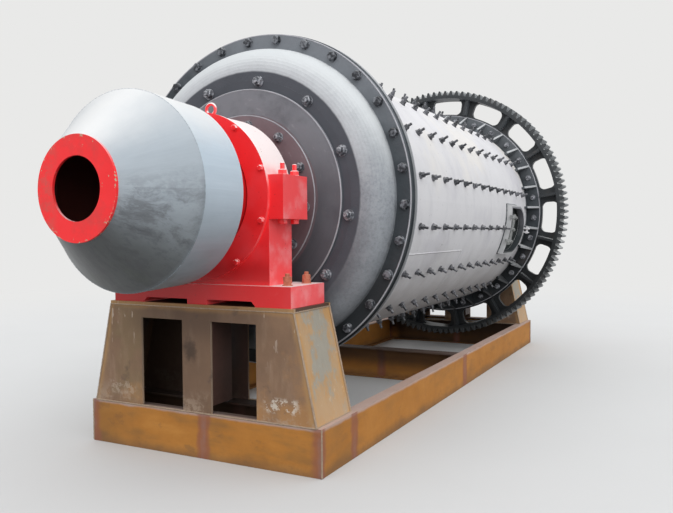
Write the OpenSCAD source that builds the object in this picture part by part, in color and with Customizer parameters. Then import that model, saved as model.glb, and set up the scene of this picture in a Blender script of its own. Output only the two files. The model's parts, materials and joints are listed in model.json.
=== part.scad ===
// Ball mill on a welded channel frame, in millimetres.
// X is across the mill, Y runs along the drum from the feed end to the discharge end, Z is up.
// The origin is the middle of the frame on the ground.

/* [Frame] */
// Width of the frame over its two rails
base_w = 1744; // [1680:4:1900]
// Height of the channels and cross beams
beam_h = 280; // [240:10:320]
// Flange width of the channels
channel_flange = 82; // [60:1:100]
// Flange width of the cross beams
cross_flange = 124; // [90:2:150]
// Thickness of the beam webs
web_t = 9; // [7:0.5:12]
// Thickness of the beam flanges
flange_t = 13; // [10:0.5:18]

/* [Pedestals] */
// Height of a pedestal above the frame
ped_h = 668; // [560:4:760]
// Width that a pedestal's sloping flanks would have at its very top
ped_top_w = 1384; // [1320:4:1480]
// How far a pedestal's foot stands in from the sides of the frame
ped_set_in = 32; // [10:2:60]
// Depth of a pedestal along the drum
ped_d = 437; // [425:1:520]
// Thickness of the pedestal walls
ped_plate = 16; // [10:1:25]
// Thickness of the top plate
ped_top_t = 21; // [15:1:30]
// How far the top plate stands out over the walls
ped_lip = 2; // [0:1:12]
// Width of the post between the two windows
post_w = 218; // [160:2:280]
// Width of each window
window_w = 330; // [260:2:360]
// Height of the wall left above the windows
lintel_h = 79; // [60:1:120]
// Width of the post in the inner wall
inner_post_w = 180; // [120:4:280]
// Depth of the two webs behind the post
web_d = 200; // [120:5:300]
// Height of the webs' lower edge above the frame
web_lift = 50; // [0:5:120]

/* [Bearings] */
// How far the bearing foot stands in from the sides of the pedestal's top
foot_set_in = 20; // [0:1:60]
// Depth of the bearing foot
foot_d = 400; // [380:5:410]
// Height of the bearing foot
foot_h = 125; // [100:5:150]
// Set-back of the foot from the end of the frame
foot_back = 12; // [0:1:25]
// Width of each relief under the foot
relief_w = 350; // [250:10:380]
// Height of each relief under the foot
relief_h = 32; // [20:2:45]
// Width of the rib between the two reliefs
relief_rib = 150; // [100:10:200]
// Set-back of the housing from the end of the frame
housing_back = 50; // [45:1:70]
// Width of the housing, which is also the cap's diameter
housing_w = 1010; // [960:10:1060]
// Depth of the housing along the axis
housing_d = 255; // [230:5:290]
// Height left between the foot and the lowest point of the cap's full circle
housing_under = 30; // [10:1:60]
// How far each clamping lug stands out of the housing
lug_out = 98; // [80:2:130]
// Depth of the lugs along the axis
lug_d = 280; // [240:5:300]
// Height of the lug above the split
lug_up = 116; // [90:2:140]
// Height of the lug below the split
lug_down = 144; // [110:2:170]
// Thickness of the bearing liner
liner_t = 21; // [14:1:30]
// How far the bolted cover ring stands over the cap's edge
cover_over = 7; // [1:1:14]
// Thickness of the cover ring
cover_t = 22; // [14:1:30]
// Width of the oil seal ring on the inner side of the housing
seal_w = 82; // [50:2:100]
// Thickness of the oil seal ring
seal_t = 18; // [12:1:30]
// Inner radius of the lifting eye
eye_r = 24; // [18:1:36]
// Thickness of the lifting eye's ring
eye_t = 20; // [14:1:28]
// Running gap between a ring and the turning neck
ring_gap = 8; // [6:0.5:12]
// Radial running clearance between the neck and the bearing liner
neck_gap = 0.3; // [0.1:0.05:0.6]

/* [Drum] */
// Outer radius of the shell
shell_r = 1020; // [990:5:1040]
// Thickness of the shell plate
shell_t = 28; // [20:1:40]
// Length of the shell between its two flanges
shell_l = 3834; // [3600:10:3900]
// How far the two shell flanges stand out of the shell
shell_flange_w = 130; // [100:2:160]
// Thickness of the shell flanges
shell_flange_t = 40; // [30:1:50]
// Thickness of a gusset plate
gusset_t = 22; // [12:1:30]
// Length of a gusset along the shell
gusset_l = 187; // [140:1:220]
// Height of a gusset where it starts on the shell
gusset_toe = 35; // [20:1:50]
// Number of gussets and of flange bolts
flange_count = 30; // [24:2:36]

/* [Heads] */
// How much smaller the head's bolt flange is than the shell flange, in radius
head_step = 10; // [0:1:30]
// Thickness of the head's bolt flange
head_flange_t = 45; // [35:1:60]
// How far the shoulder's foot lies outside the shell's radius
shoulder_over = 20; // [0:1:30]
// Radius of the flat ring inside the shoulder
ring_r = 860; // [820:5:880]
// How far the head bulges out of its flange
head_rise = 155; // [120:5:180]
// Thickness of the head casting
head_t = 60; // [40:2:80]
// Radius of the raised plate on the head
plate_r = 739; // [700:5:760]
// Thickness of the raised plate
plate_t = 18; // [12:1:30]
// Radius of the trunnion's flange
trunnion_flange_r = 563; // [540:5:600]
// Thickness of the trunnion's flange
trunnion_flange_t = 24; // [18:1:40]
// Radius of the fillet between the trunnion's flange and its neck
neck_fillet = 40; // [20:2:60]
// Radius of the trunnion's neck
neck_r = 362; // [350:1:365]
// Wall of the trunnion's neck
neck_t = 92; // [60:2:120]
// How far the trunnion's outer flange stands out of the neck
end_flange_w = 68; // [50:2:90]
// Thickness of the trunnion's outer flange
end_flange_t = 30; // [20:1:40]
// How far the trunnion's outer flange lies outside the bearing cover
end_flange_out = 240; // [200:5:280]
// Clearance between the raised plate on a head and the pedestal's top plate
head_clear = 86; // [40:2:160]

/* [Ring gear] */
// Module of the teeth
gear_module = 22; // [21:0.25:22.5]
// Width of the toothed rim
gear_w = 250; // [200:5:260]
// Thickness of the rim under the teeth
gear_rim_t = 36; // [28:1:40]
// Thickness of the web
gear_web_t = 50; // [36:1:60]
// Number of openings in the web
gear_windows = 16; // [12:2:18]
// Angle that one opening takes
window_angle = 15.6; // [12:0.2:16]
// Web left between the shell flange and an opening
window_edge = 18; // [10:1:26]
// Least height of an opening, from which the number of teeth follows
window_h = 176; // [150:1:200]
// Radius of an opening's corners
window_corner = 62; // [40:1:75]
// Thickness of the radial ribs
gear_rib_t = 30; // [20:1:40]
// How far the ribs stand back from the rim's faces
rib_set_in = 10; // [0:1:30]

/* [Manhole] */
// Distance of the manhole's middle from the discharge flange
manhole_back = 695; // [600:5:900]
// Length of the manhole's frame along the drum
manhole_l = 600; // [540:10:660]
// Height of the manhole's frame round the drum, which also rounds its far side
manhole_h = 500; // [440:10:560]
// Angle of the manhole's middle below the axis
manhole_angle = 11.4; // [8:0.1:14]
// Thickness of the frame's wall
manhole_wall = 28; // [16:1:40]
// Height of the frame above the shell
manhole_rise = 56; // [30:1:80]
// How far the cover, which lies inside the shell, laps over the edge of the hole
manhole_lap = 25; // [10:1:40]
// Thickness of the manhole's cover
manhole_cover_t = 24; // [14:1:30]

/* [Feeder] */
// Radius of the feeder at its widest
feeder_r = 547; // [530:1:580]
// Radius of the feeder at its rear edge
feeder_rear_r = 530; // [510:2:560]
// Length of the feeder's rear barrel
feeder_barrel_l = 340; // [280:5:400]
// Length of the feeder's front cone
feeder_cone_l = 310; // [260:5:380]
// Radius of the ring round the mouth
mouth_ring_r = 270; // [250:2:300]
// Thickness of the ring round the mouth
mouth_ring_t = 14; // [10:1:20]
// Radius of the mouth
mouth_r = 164; // [140:2:180]
// Thickness of the feeder's plate
feeder_t = 12; // [8:1:16]
// Length of the discharge spout
spout_l = 240; // [180:10:320]
// Radius of the discharge spout at its lip
spout_r = 330; // [300:5:380]

/* [Hidden] */
$fn = 96;
// Play left between faces that are bolted, cast or welded to a curved neighbour
seat_gap = 0.3;
eps = 1;
// Heights
ped_top_z = beam_h + ped_h;
foot_top_z = ped_top_z + foot_h;
cap_r = housing_w / 2;
axis_z = foot_top_z + housing_under + cap_r;
// Widths that follow from a neighbour
ped_foot_w = base_w - 2 * ped_set_in;
foot_w = ped_top_w - 2 * foot_set_in;
// Radii that follow from a neighbour
liner_r = neck_r + neck_gap + liner_t;
liner_seat_r = liner_r + seat_gap;
cover_r = cap_r + cover_over;
ring_bore_r = neck_r + ring_gap;
seal_r = ring_bore_r + seal_w;
shell_flange_r = shell_r + shell_flange_w;
head_flange_r = shell_flange_r - head_step;
shoulder_r = shell_r + shoulder_over;
disc_r = ring_r - head_t;
neck_bore_r = neck_r - neck_t;
end_flange_r = neck_r + end_flange_w;
// The stack of shell, flanges, gear web and heads is centred on the frame
stack_l = shell_l + 2 * shell_flange_t + gear_web_t + 2 * head_flange_t;
stack_y = -stack_l / 2;
shell_y0 = stack_y + head_flange_t;
shell_y1 = shell_y0 + 2 * shell_flange_t + shell_l;
gear_y = shell_y1 + gear_web_t / 2;
// Distances outward from the head flange's outer face
plate_top = head_rise + plate_t;
trunnion_face = plate_top + trunnion_flange_t;
neck_a = trunnion_face + neck_fillet;
head_gap = plate_top + head_clear + ped_lip + ped_d;
end_flange_a = head_gap - housing_back + cover_t + end_flange_out;
trunnion_end = end_flange_a + end_flange_t;
feeder_rear_a = trunnion_end + feeder_t;
// The frame is as long as the stack with both bearings
base_l = stack_l + 2 * head_gap;
// The teeth are as many as a rim of the wanted size takes
window_r0 = shell_flange_r + window_edge;
wanted_pitch_r = window_r0 + window_h + gear_rim_t + 1.25 * gear_module;
teeth = round(2 * wanted_pitch_r / gear_module);
gear_pitch_r = teeth * gear_module / 2;
gear_tip_r = gear_pitch_r + gear_module;
gear_root_r = gear_pitch_r - 1.25 * gear_module;
gear_rim_r = gear_root_r - gear_rim_t;
gear_phase = 87;
gusset_phase = 2.25;

// A channel section, web at x = 0 and flanges towards +X, running along +Y, mitred at both ends
module channel(l) {
    intersection() {
        translate([0, l, 0]) rotate([90, 0, 0]) linear_extrude(l) difference() {
            square([channel_flange, beam_h]);
            translate([web_t, flange_t]) square([channel_flange, beam_h - 2 * flange_t]);
        }
        translate([0, 0, -eps]) linear_extrude(beam_h + 2 * eps)
            polygon([[0, 0], [channel_flange, channel_flange], [channel_flange, l - channel_flange], [0, l]]);
    }
}

// An I section that runs along +X from x = 0 and is centred on y = 0
module cross_beam(l) {
    rotate([90, 0, 90]) linear_extrude(l) {
        translate([-cross_flange / 2, 0]) square([cross_flange, flange_t]);
        translate([-cross_flange / 2, beam_h - flange_t]) square([cross_flange, flange_t]);
        translate([-web_t / 2, 0]) square([web_t, beam_h]);
    }
}

// Puts what is drawn for the feed end, with its outer side at y = 0, on the frame's feed end
module at_feed_end() {
    translate([0, -base_l / 2, 0]) children();
}

module at_discharge_end() {
    mirror([0, 1, 0]) at_feed_end() children();
}

// Turns a profile of radius and distance outward about the drum's axis, at the feed head
module on_feed_head() {
    translate([0, stack_y, axis_z]) rotate([90, 0, 0]) children();
}

module on_discharge_head() {
    mirror([0, 1, 0]) on_feed_head() children();
}

// A tube about the drum's axis from y0 to y1
module axis_tube(r_out, r_in, y0, y1) {
    translate([0, y1, axis_z]) rotate([90, 0, 0]) difference() {
        cylinder(r = r_out, h = y1 - y0);
        translate([0, 0, -eps]) cylinder(r = r_in, h = y1 - y0 + 2 * eps);
    }
}

module rail() {
    translate([-base_w / 2, -base_l / 2, 0]) channel(base_l);
}
module end_beam() {
    translate([base_w / 2, -base_l / 2, 0]) rotate([0, 0, 90]) channel(base_w);
}
module front_beam() {
    color("peru") end_beam();
}
module rear_beam() {
    color("peru") mirror([0, 1, 0]) end_beam();
}
module left_rail() {
    color("peru") rail();
}
module right_rail() {
    color("peru") mirror([1, 0, 0]) rail();
}

cross_l = base_w - 2 * web_t;
// The outer cross beams lie under the pedestals' inner walls
cross_y = base_l / 2 - ped_d + cross_flange / 2;
// The beams are coped round the flanges of the rails that they butt against
module coped_beam() {
    cope = channel_flange - web_t + seat_gap;
    difference() {
        translate([-cross_l / 2, 0, 0]) cross_beam(cross_l);
        for (side = [0, 1], level = [0, 1])
            mirror([side, 0, 0])
                translate([cross_l / 2 - cope, -cross_flange, level * (beam_h - flange_t) - eps])
                    cube([cope + eps, 2 * cross_flange, flange_t + eps + level * eps]);
    }
}
module cross_beams() {
    color("sienna") for (y = [-cross_y, 0, cross_y]) translate([0, y, 0]) coped_beam();
}

// Half of a pedestal's width at a height above the frame
function ped_half(h) = (ped_foot_w + (ped_top_w - ped_foot_w) * h / ped_h) / 2;
wall_h = ped_h - ped_top_t;

// Stands an outline of the pedestal upright, from one distance behind its outer side to another
module ped_upright(y0, y1) {
    translate([0, y1, beam_h]) rotate([90, 0, 0]) linear_extrude(y1 - y0) children();
}

// A wall across the mill with two windows that reach down to the frame, beside a post
module ped_wall(y0, post) {
    ped_upright(y0, y0 + ped_plate) difference() {
        polygon([
            [-ped_half(0), 0], [ped_half(0), 0], [ped_half(wall_h), wall_h], [-ped_half(wall_h), wall_h]
        ]);
        for (side = [0, 1]) mirror([side, 0])
            translate([post / 2, -eps]) square([(post_w - post) / 2 + window_w, wall_h - lintel_h + eps]);
    }
}

module ped_flanks() {
    for (side = [0, 1]) mirror([side, 0, 0]) ped_upright(ped_plate, ped_d - ped_plate) polygon([
        [ped_half(0) - ped_plate, 0], [ped_half(0), 0],
        [ped_half(wall_h), wall_h], [ped_half(wall_h) - ped_plate, wall_h]
    ]);
}

// Two upright webs that stiffen the post between the windows
module ped_webs() {
    for (side = [0, 1]) mirror([side, 0, 0])
        translate([post_w / 2 - ped_plate, ped_plate, beam_h + web_lift])
            cube([ped_plate, web_d, wall_h - web_lift]);
}

module ped_top() {
    half = ped_half(wall_h) + ped_lip;
    translate([-half, -ped_lip, ped_top_z - ped_top_t]) cube([2 * half, ped_d + 2 * ped_lip, ped_top_t]);
}

module feed_pedestal_outer_wall() {
    color("rosybrown") at_feed_end() ped_wall(0, post_w);
}
module feed_pedestal_inner_wall() {
    color("rosybrown") at_feed_end() ped_wall(ped_d - ped_plate, inner_post_w);
}
module feed_pedestal_flanks() {
    color("tan") at_feed_end() ped_flanks();
}
module feed_pedestal_webs() {
    color("saddlebrown") at_feed_end() ped_webs();
}
module feed_pedestal_top() {
    color("peru") at_feed_end() ped_top();
}
module discharge_pedestal_outer_wall() {
    color("rosybrown") at_discharge_end() ped_wall(0, post_w);
}
module discharge_pedestal_inner_wall() {
    color("rosybrown") at_discharge_end() ped_wall(ped_d - ped_plate, inner_post_w);
}
module discharge_pedestal_flanks() {
    color("tan") at_discharge_end() ped_flanks();
}
module discharge_pedestal_webs() {
    color("saddlebrown") at_discharge_end() ped_webs();
}
module discharge_pedestal_top() {
    color("peru") at_discharge_end() ped_top();
}

// The relief's outline under the foot, with a chamfer at its outer upper corner
module relief() {
    chamfer = relief_h * 0.8;
    translate([relief_rib / 2, 0]) polygon([
        [0, -eps], [0, relief_h], [relief_w - chamfer, relief_h],
        [relief_w, relief_h - chamfer], [relief_w, -eps]
    ]);
}
module bearing_foot() {
    translate([0, foot_back + foot_d, ped_top_z]) rotate([90, 0, 0]) linear_extrude(foot_d) difference() {
        translate([-foot_w / 2, 0]) square([foot_w, foot_h]);
        for (side = [0, 1]) mirror([side, 0]) relief();
    }
}

// The housing seen along the axis, upright below the split and round above it
module housing_outline() {
    translate([-cap_r, foot_top_z]) square([housing_w, axis_z - foot_top_z]);
    translate([0, axis_z]) circle(r = cap_r);
}
// The lugs at the split, which reach a little way into the housing
lug_root = 45;
module lug_outline() {
    for (side = [0, 1]) mirror([side, 0])
        translate([cap_r - lug_root, axis_z - lug_down]) square([lug_root + lug_out, lug_down + lug_up]);
}
// Runs an outline inward from the housing's outer face, kept between two heights
module housing_run(depth, z0, z1) {
    translate([0, housing_back + depth, 0]) rotate([90, 0, 0]) linear_extrude(depth) intersection() {
        children();
        translate([-base_w, z0]) square([2 * base_w, z1 - z0]);
    }
}
module housing_slice(z0, z1) {
    difference() {
        union() {
            housing_run(housing_d, z0, z1) housing_outline();
            housing_run(lug_d, z0, z1) lug_outline();
        }
        translate([0, housing_back + housing_d + eps, axis_z]) rotate([90, 0, 0])
            cylinder(r = liner_seat_r, h = housing_d + 2 * eps);
    }
}
module bearing_body() {
    housing_slice(foot_top_z, axis_z);
}
module bearing_cap() {
    housing_slice(axis_z, axis_z + 2 * cap_r);
}
module bearing_liner() {
    axis_tube(liner_r, neck_r + neck_gap, housing_back, housing_back + housing_d);
}
module bearing_cover() {
    axis_tube(cover_r, ring_bore_r, housing_back - cover_t, housing_back);
}
module bearing_seal() {
    axis_tube(seal_r, ring_bore_r, housing_back + housing_d, housing_back + housing_d + seal_t);
}
module lifting_eye() {
    loop_r = eye_r + eye_t / 2;
    collar_h = 14;
    translate([0, housing_back + housing_d / 2, axis_z + cap_r]) {
        difference() {
            union() {
                translate([0, 0, -collar_h]) cylinder(r = eye_t, h = 2 * collar_h);
                translate([0, 0, collar_h + loop_r]) rotate([90, 0, 0]) rotate_extrude()
                    translate([loop_r, 0]) circle(d = eye_t, $fn = 24);
            }
            translate([0, housing_d, -cap_r]) rotate([90, 0, 0])
                cylinder(r = cap_r + seat_gap, h = 2 * housing_d);
        }
    }
}

module feed_bearing_foot() {
    color("firebrick") at_feed_end() bearing_foot();
}
module feed_bearing_body() {
    color("crimson") at_feed_end() bearing_body();
}
module feed_bearing_cap() {
    color("crimson") at_feed_end() bearing_cap();
}
module feed_bearing_liner() {
    color("darkgoldenrod") at_feed_end() bearing_liner();
}
module feed_bearing_cover() {
    color("red") at_feed_end() bearing_cover();
}
module feed_bearing_seal() {
    color("firebrick") at_feed_end() bearing_seal();
}
module feed_lifting_eye() {
    color("red") at_feed_end() lifting_eye();
}
module discharge_bearing_foot() {
    color("firebrick") at_discharge_end() bearing_foot();
}
module discharge_bearing_body() {
    color("crimson") at_discharge_end() bearing_body();
}
module discharge_bearing_cap() {
    color("crimson") at_discharge_end() bearing_cap();
}
module discharge_bearing_liner() {
    color("darkgoldenrod") at_discharge_end() bearing_liner();
}
module discharge_bearing_cover() {
    color("red") at_discharge_end() bearing_cover();
}
module discharge_bearing_seal() {
    color("firebrick") at_discharge_end() bearing_seal();
}
module discharge_lifting_eye() {
    color("red") at_discharge_end() lifting_eye();
}

// The manhole seen from outside: square on its feed side, half round on the other, drawn in by an inset
module manhole_outline(inset) {
    round_x = manhole_l - manhole_h / 2;
    translate([inset, inset - manhole_h / 2]) square([round_x - inset, manhole_h - 2 * inset]);
    translate([round_x, 0]) circle(r = manhole_h / 2 - inset);
}
manhole_y = shell_y1 - shell_flange_t - manhole_back;
// Runs an outline of the manhole straight out of the drum, from well inside the shell
module manhole_run() {
    translate([0, manhole_y - manhole_l / 2, axis_z]) rotate([0, manhole_angle, 0])
        translate([shell_r / 2, 0, 0]) rotate([90, 0, 90]) linear_extrude(shell_r) children();
}
// The part of such a run that lies between two radii
module manhole_layer(r0, r1) {
    intersection() {
        manhole_run() children();
        axis_tube(r1, r0, manhole_y - manhole_l, manhole_y + manhole_l);
    }
}
module manhole_frame() {
    color("silver") manhole_layer(shell_r + seat_gap, shell_r + manhole_rise) difference() {
        manhole_outline(0);
        manhole_outline(manhole_wall);
    }
}
module manhole_cover() {
    r1 = shell_r - shell_t - seat_gap;
    color("dimgray") manhole_layer(r1 - manhole_cover_t, r1) manhole_outline(manhole_wall - manhole_lap);
}

module shell() {
    color("silver") difference() {
        axis_tube(shell_r, shell_r - shell_t, shell_y0, shell_y1);
        manhole_run() manhole_outline(manhole_wall);
    }
}
module shell_flange(y0) {
    axis_tube(shell_flange_r, shell_r + seat_gap, y0, y0 + shell_flange_t);
}
module feed_shell_flange() {
    color("dimgray") shell_flange(shell_y0);
}
module discharge_shell_flange() {
    color("dimgray") shell_flange(shell_y1 - shell_flange_t);
}
// A tapered plate between the shell and its flange
module gusset() {
    foot = shell_r + seat_gap;
    translate([0, gusset_t / 2, 0]) rotate([90, 0, 0]) linear_extrude(gusset_t)
        polygon([[foot, 0], [shell_flange_r, 0], [foot + gusset_toe, gusset_l], [foot, gusset_l]]);
}
module gussets() {
    color("dimgray") for (i = [0 : flange_count - 1])
        translate([0, shell_y1 - shell_flange_t, axis_z]) rotate([90, 0, 0])
            rotate([0, 0, gusset_phase + i * 360 / flange_count]) gusset();
}

// A quarter-oval shoulder that rises inward from its foot
shoulder_steps = 12;
function shoulder(r_foot, r_top, rise) = [
    for (i = [0 : shoulder_steps])
        let (t = 90 * i / shoulder_steps)
            [r_top + (r_foot - r_top) * cos(t), rise * sin(t)]
];
// The domed outer part of the head, from its bolt flange over the shoulder to the flat ring
module head() {
    outer = shoulder(shoulder_r, ring_r, head_rise);
    inner = shoulder(shoulder_r - head_t, disc_r, head_rise - head_t + head_flange_t);
    rotate_extrude() polygon(concat(
        [[disc_r, head_rise - head_t], [disc_r, head_rise]],
        [for (i = [shoulder_steps : -1 : 0]) outer[i]],
        [[head_flange_r, 0], [head_flange_r, -head_flange_t]],
        [for (i = [0 : shoulder_steps - 1]) [inner[i][0], inner[i][1] - head_flange_t]]
    ));
}
// The flat middle of the head with the raised plate on it
module head_plate() {
    rotate_extrude() polygon([
        [neck_bore_r, head_rise - head_t], [disc_r - seat_gap, head_rise - head_t],
        [disc_r - seat_gap, head_rise], [plate_r, head_rise], [plate_r, plate_top], [neck_bore_r, plate_top]
    ]);
}
module trunnion_flange() {
    rotate_extrude() difference() {
        polygon([
            [neck_bore_r, plate_top], [trunnion_flange_r, plate_top], [trunnion_flange_r, trunnion_face],
            [neck_r + neck_fillet, trunnion_face], [neck_r, neck_a], [neck_bore_r, neck_a]
        ]);
        translate([neck_r + neck_fillet, neck_a]) circle(r = neck_fillet);
    }
}
module neck() {
    rotate_extrude() translate([neck_bore_r, neck_a]) square([neck_t, end_flange_a - neck_a]);
}
module end_flange() {
    rotate_extrude() translate([neck_bore_r, end_flange_a]) square([neck_t + end_flange_w, end_flange_t]);
}
module feed_head() {
    color("lightgray") on_feed_head() head();
}
module feed_head_plate() {
    color("dimgray") on_feed_head() head_plate();
}
module feed_trunnion_flange() {
    color("gray") on_feed_head() trunnion_flange();
}
module feed_trunnion() {
    color("gray") on_feed_head() neck();
}
module feed_end_flange() {
    color("gray") on_feed_head() end_flange();
}
module discharge_head() {
    color("lightgray") on_discharge_head() head();
}
module discharge_head_plate() {
    color("dimgray") on_discharge_head() head_plate();
}
module discharge_trunnion_flange() {
    color("gray") on_discharge_head() trunnion_flange();
}
module discharge_trunnion() {
    color("gray") on_discharge_head() neck();
}
module discharge_end_flange() {
    color("gray") on_discharge_head() end_flange();
}

// Half of one tooth's outline as angle and radius: root, lower flank, pitch line, upper flank, tip
pitch_angle = 360 / teeth;
tooth_half = [
    [0.36, gear_root_r], [0.31, gear_pitch_r - 0.6 * gear_module], [0.25, gear_pitch_r],
    [0.17, gear_pitch_r + 0.6 * gear_module], [0.11, gear_tip_r]
];
tooth = concat(
    [for (i = [0 : 4]) [-tooth_half[i][0], tooth_half[i][1]]],
    [for (i = [4 : -1 : 0]) tooth_half[i]]
);
gear_outline = [
    for (k = [0 : teeth - 1], p = tooth)
        let (a = (k + p[0]) * pitch_angle) [p[1] * cos(a), p[1] * sin(a)]
];
// Puts a flat drawing of the gear in the gear's plane and gives it a width
module gear_plate(w) {
    translate([0, gear_y + w / 2, axis_z]) rotate([90, 0, 0]) linear_extrude(w) children();
}
module ring_gear() {
    color("darkslategray") gear_plate(gear_w) difference() {
        polygon(gear_outline);
        circle(r = gear_rim_r);
    }
}
gear_bore_r = shell_r + 10;
module gear_hub() {
    color("darkslategray") gear_plate(gear_web_t) difference() {
        circle(r = window_r0);
        circle(r = gear_bore_r);
    }
}

// The web between two openings. Its outline bulges into the corners of both, and an opening's corner
// has its middle at corner_a from the spoke's middle line
spoke_r0 = window_r0 + seat_gap;
spoke_r1 = gear_rim_r - seat_gap;
corner_steps = 8;
corner_a = (360 / gear_windows - window_angle) / 2 + window_corner / (window_r0 + gear_rim_r) * 360 / PI;
// A point on a corner's arc: t is 0 where it would touch the hub and 90 at the opening's side
function corner_point(r, t) =
    let (x = r - window_corner * cos(t), y = -window_corner * sin(t))
        [x * cos(corner_a) - y * sin(corner_a), x * sin(corner_a) + y * cos(corner_a)];
corner_start = 18;
spoke_side = concat(
    [for (i = [0 : corner_steps])
        corner_point(window_r0 + window_corner, corner_start + (90 - corner_start) * i / corner_steps)],
    [for (i = [0 : corner_steps])
        corner_point(gear_rim_r - window_corner, 90 + (90 - corner_start) * i / corner_steps)]
);
foot_point = spoke_side[0];
foot_a = atan2(foot_point[1], foot_point[0]);
arc_steps = 10;
spoke_outline = concat(
    [for (i = [0 : arc_steps])
        let (a = -foot_a + 2 * foot_a * i / arc_steps) [spoke_r0 * cos(a), spoke_r0 * sin(a)]],
    spoke_side,
    [for (i = [arc_steps : -1 : 0])
        let (a = -foot_a + 2 * foot_a * i / arc_steps) [spoke_r1 * cos(a), spoke_r1 * sin(a)]],
    [for (i = [len(spoke_side) - 1 : -1 : 0]) [spoke_side[i][0], -spoke_side[i][1]]]
);
module gear_spokes() {
    rib_w = gear_w - 2 * rib_set_in;
    color("darkslategray") for (i = [0 : gear_windows - 1])
        translate([0, gear_y, axis_z]) rotate([90, 0, 0])
            rotate([0, 0, gear_phase + (i + 0.5) * 360 / gear_windows]) union() {
                translate([0, 0, -gear_web_t / 2]) linear_extrude(gear_web_t) polygon(spoke_outline);
                translate([spoke_r0 + eps, -gear_rib_t / 2, -rib_w / 2])
                    cube([spoke_r1 - spoke_r0 - 2 * eps, gear_rib_t, rib_w]);
            }
}

feeder_seam_a = feeder_rear_a + feeder_barrel_l;
feeder_front_a = feeder_seam_a + feeder_cone_l;
module feeder_back_plate() {
    color("slategray") on_feed_head() rotate_extrude() translate([neck_bore_r, trunnion_end])
        square([feeder_rear_r - neck_bore_r, feeder_t]);
}
module feeder_barrel() {
    color("lightslategray") on_feed_head() rotate_extrude() polygon([
        [feeder_rear_r - feeder_t, feeder_rear_a], [feeder_rear_r, feeder_rear_a],
        [feeder_r, feeder_seam_a], [feeder_r - feeder_t, feeder_seam_a]
    ]);
}
module feeder_cone() {
    color("lightslategray") on_feed_head() rotate_extrude() polygon([
        [feeder_r - feeder_t, feeder_seam_a], [feeder_r, feeder_seam_a],
        [mouth_ring_r, feeder_front_a], [mouth_ring_r - feeder_t, feeder_front_a]
    ]);
}
module feeder_mouth_ring() {
    color("red") on_feed_head() rotate_extrude() translate([mouth_r, feeder_front_a])
        square([mouth_ring_r - mouth_r, mouth_ring_t]);
}
module discharge_spout() {
    color("slategray") on_discharge_head() rotate_extrude() polygon([
        [neck_bore_r, trunnion_end], [neck_bore_r + feeder_t, trunnion_end],
        [spout_r, trunnion_end + spout_l], [spout_r - feeder_t, trunnion_end + spout_l]
    ]);
}

front_beam();
rear_beam();
left_rail();
right_rail();
cross_beams();
feed_pedestal_outer_wall();
feed_pedestal_inner_wall();
feed_pedestal_flanks();
feed_pedestal_webs();
feed_pedestal_top();
discharge_pedestal_outer_wall();
discharge_pedestal_inner_wall();
discharge_pedestal_flanks();
discharge_pedestal_webs();
discharge_pedestal_top();
feed_bearing_foot();
feed_bearing_body();
feed_bearing_cap();
feed_bearing_liner();
feed_bearing_cover();
feed_bearing_seal();
feed_lifting_eye();
discharge_bearing_foot();
discharge_bearing_body();
discharge_bearing_cap();
discharge_bearing_liner();
discharge_bearing_cover();
discharge_bearing_seal();
discharge_lifting_eye();
shell();
feed_shell_flange();
discharge_shell_flange();
gussets();
feed_head();
feed_head_plate();
feed_trunnion_flange();
feed_trunnion();
feed_end_flange();
discharge_head();
discharge_head_plate();
discharge_trunnion_flange();
discharge_trunnion();
discharge_end_flange();
ring_gear();
gear_hub();
gear_spokes();
manhole_frame();
manhole_cover();
feeder_mouth_ring();
feeder_cone();
feeder_barrel();
feeder_back_plate();
discharge_spout();
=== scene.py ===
# %% [markdown] # A ball mill and its finishes The solids of the mill are ready: frame, pedestals,
# bearings, drum, ring gear and feeder. This lesson gives them paint, rust and mill scale, and adds what
# is too small for the solids: bolts, nuts, studs and welds. They could be modelled here once more, but
# then two models of one mill would have to be kept alike.

# %% Load the solids
import json
import math
import random

import bmesh
import bpy
from mathutils import Matrix, Vector


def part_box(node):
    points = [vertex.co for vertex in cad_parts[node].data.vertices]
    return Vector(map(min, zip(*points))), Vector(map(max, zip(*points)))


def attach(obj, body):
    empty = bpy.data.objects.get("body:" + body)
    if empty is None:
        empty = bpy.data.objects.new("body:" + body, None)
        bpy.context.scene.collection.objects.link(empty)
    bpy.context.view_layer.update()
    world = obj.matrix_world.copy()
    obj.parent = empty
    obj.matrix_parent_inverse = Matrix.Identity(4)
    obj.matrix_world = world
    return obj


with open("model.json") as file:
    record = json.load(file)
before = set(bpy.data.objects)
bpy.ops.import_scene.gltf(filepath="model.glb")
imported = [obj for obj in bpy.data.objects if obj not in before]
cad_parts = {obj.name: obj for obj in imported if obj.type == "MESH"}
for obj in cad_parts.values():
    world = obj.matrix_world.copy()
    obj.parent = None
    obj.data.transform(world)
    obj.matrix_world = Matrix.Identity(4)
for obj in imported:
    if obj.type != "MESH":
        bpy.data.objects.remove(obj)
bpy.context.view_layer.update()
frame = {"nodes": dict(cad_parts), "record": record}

# %% [markdown]
# ## Places taken from the solids
# Every small part sits on a big one. Its place could be typed in as a number, but it is read from the box
# of what carries it, so that it follows when the solids change. The drum's axis is the middle of the ring
# gear. Each end of the mill has an outer side, away from the middle, and an inner one.

# %% Named places
def low(node):
    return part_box(node)[0]


def high(node):
    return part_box(node)[1]


def radius_of(node):
    return (high(node).z - low(node).z) / 2


outward = {"feed": -1.0, "discharge": 1.0}


def outer_y(end, part):
    return (low(end + part) if outward[end] < 0 else high(end + part)).y


def inner_y(end, part):
    return (high(end + part) if outward[end] < 0 else low(end + part)).y


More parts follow.
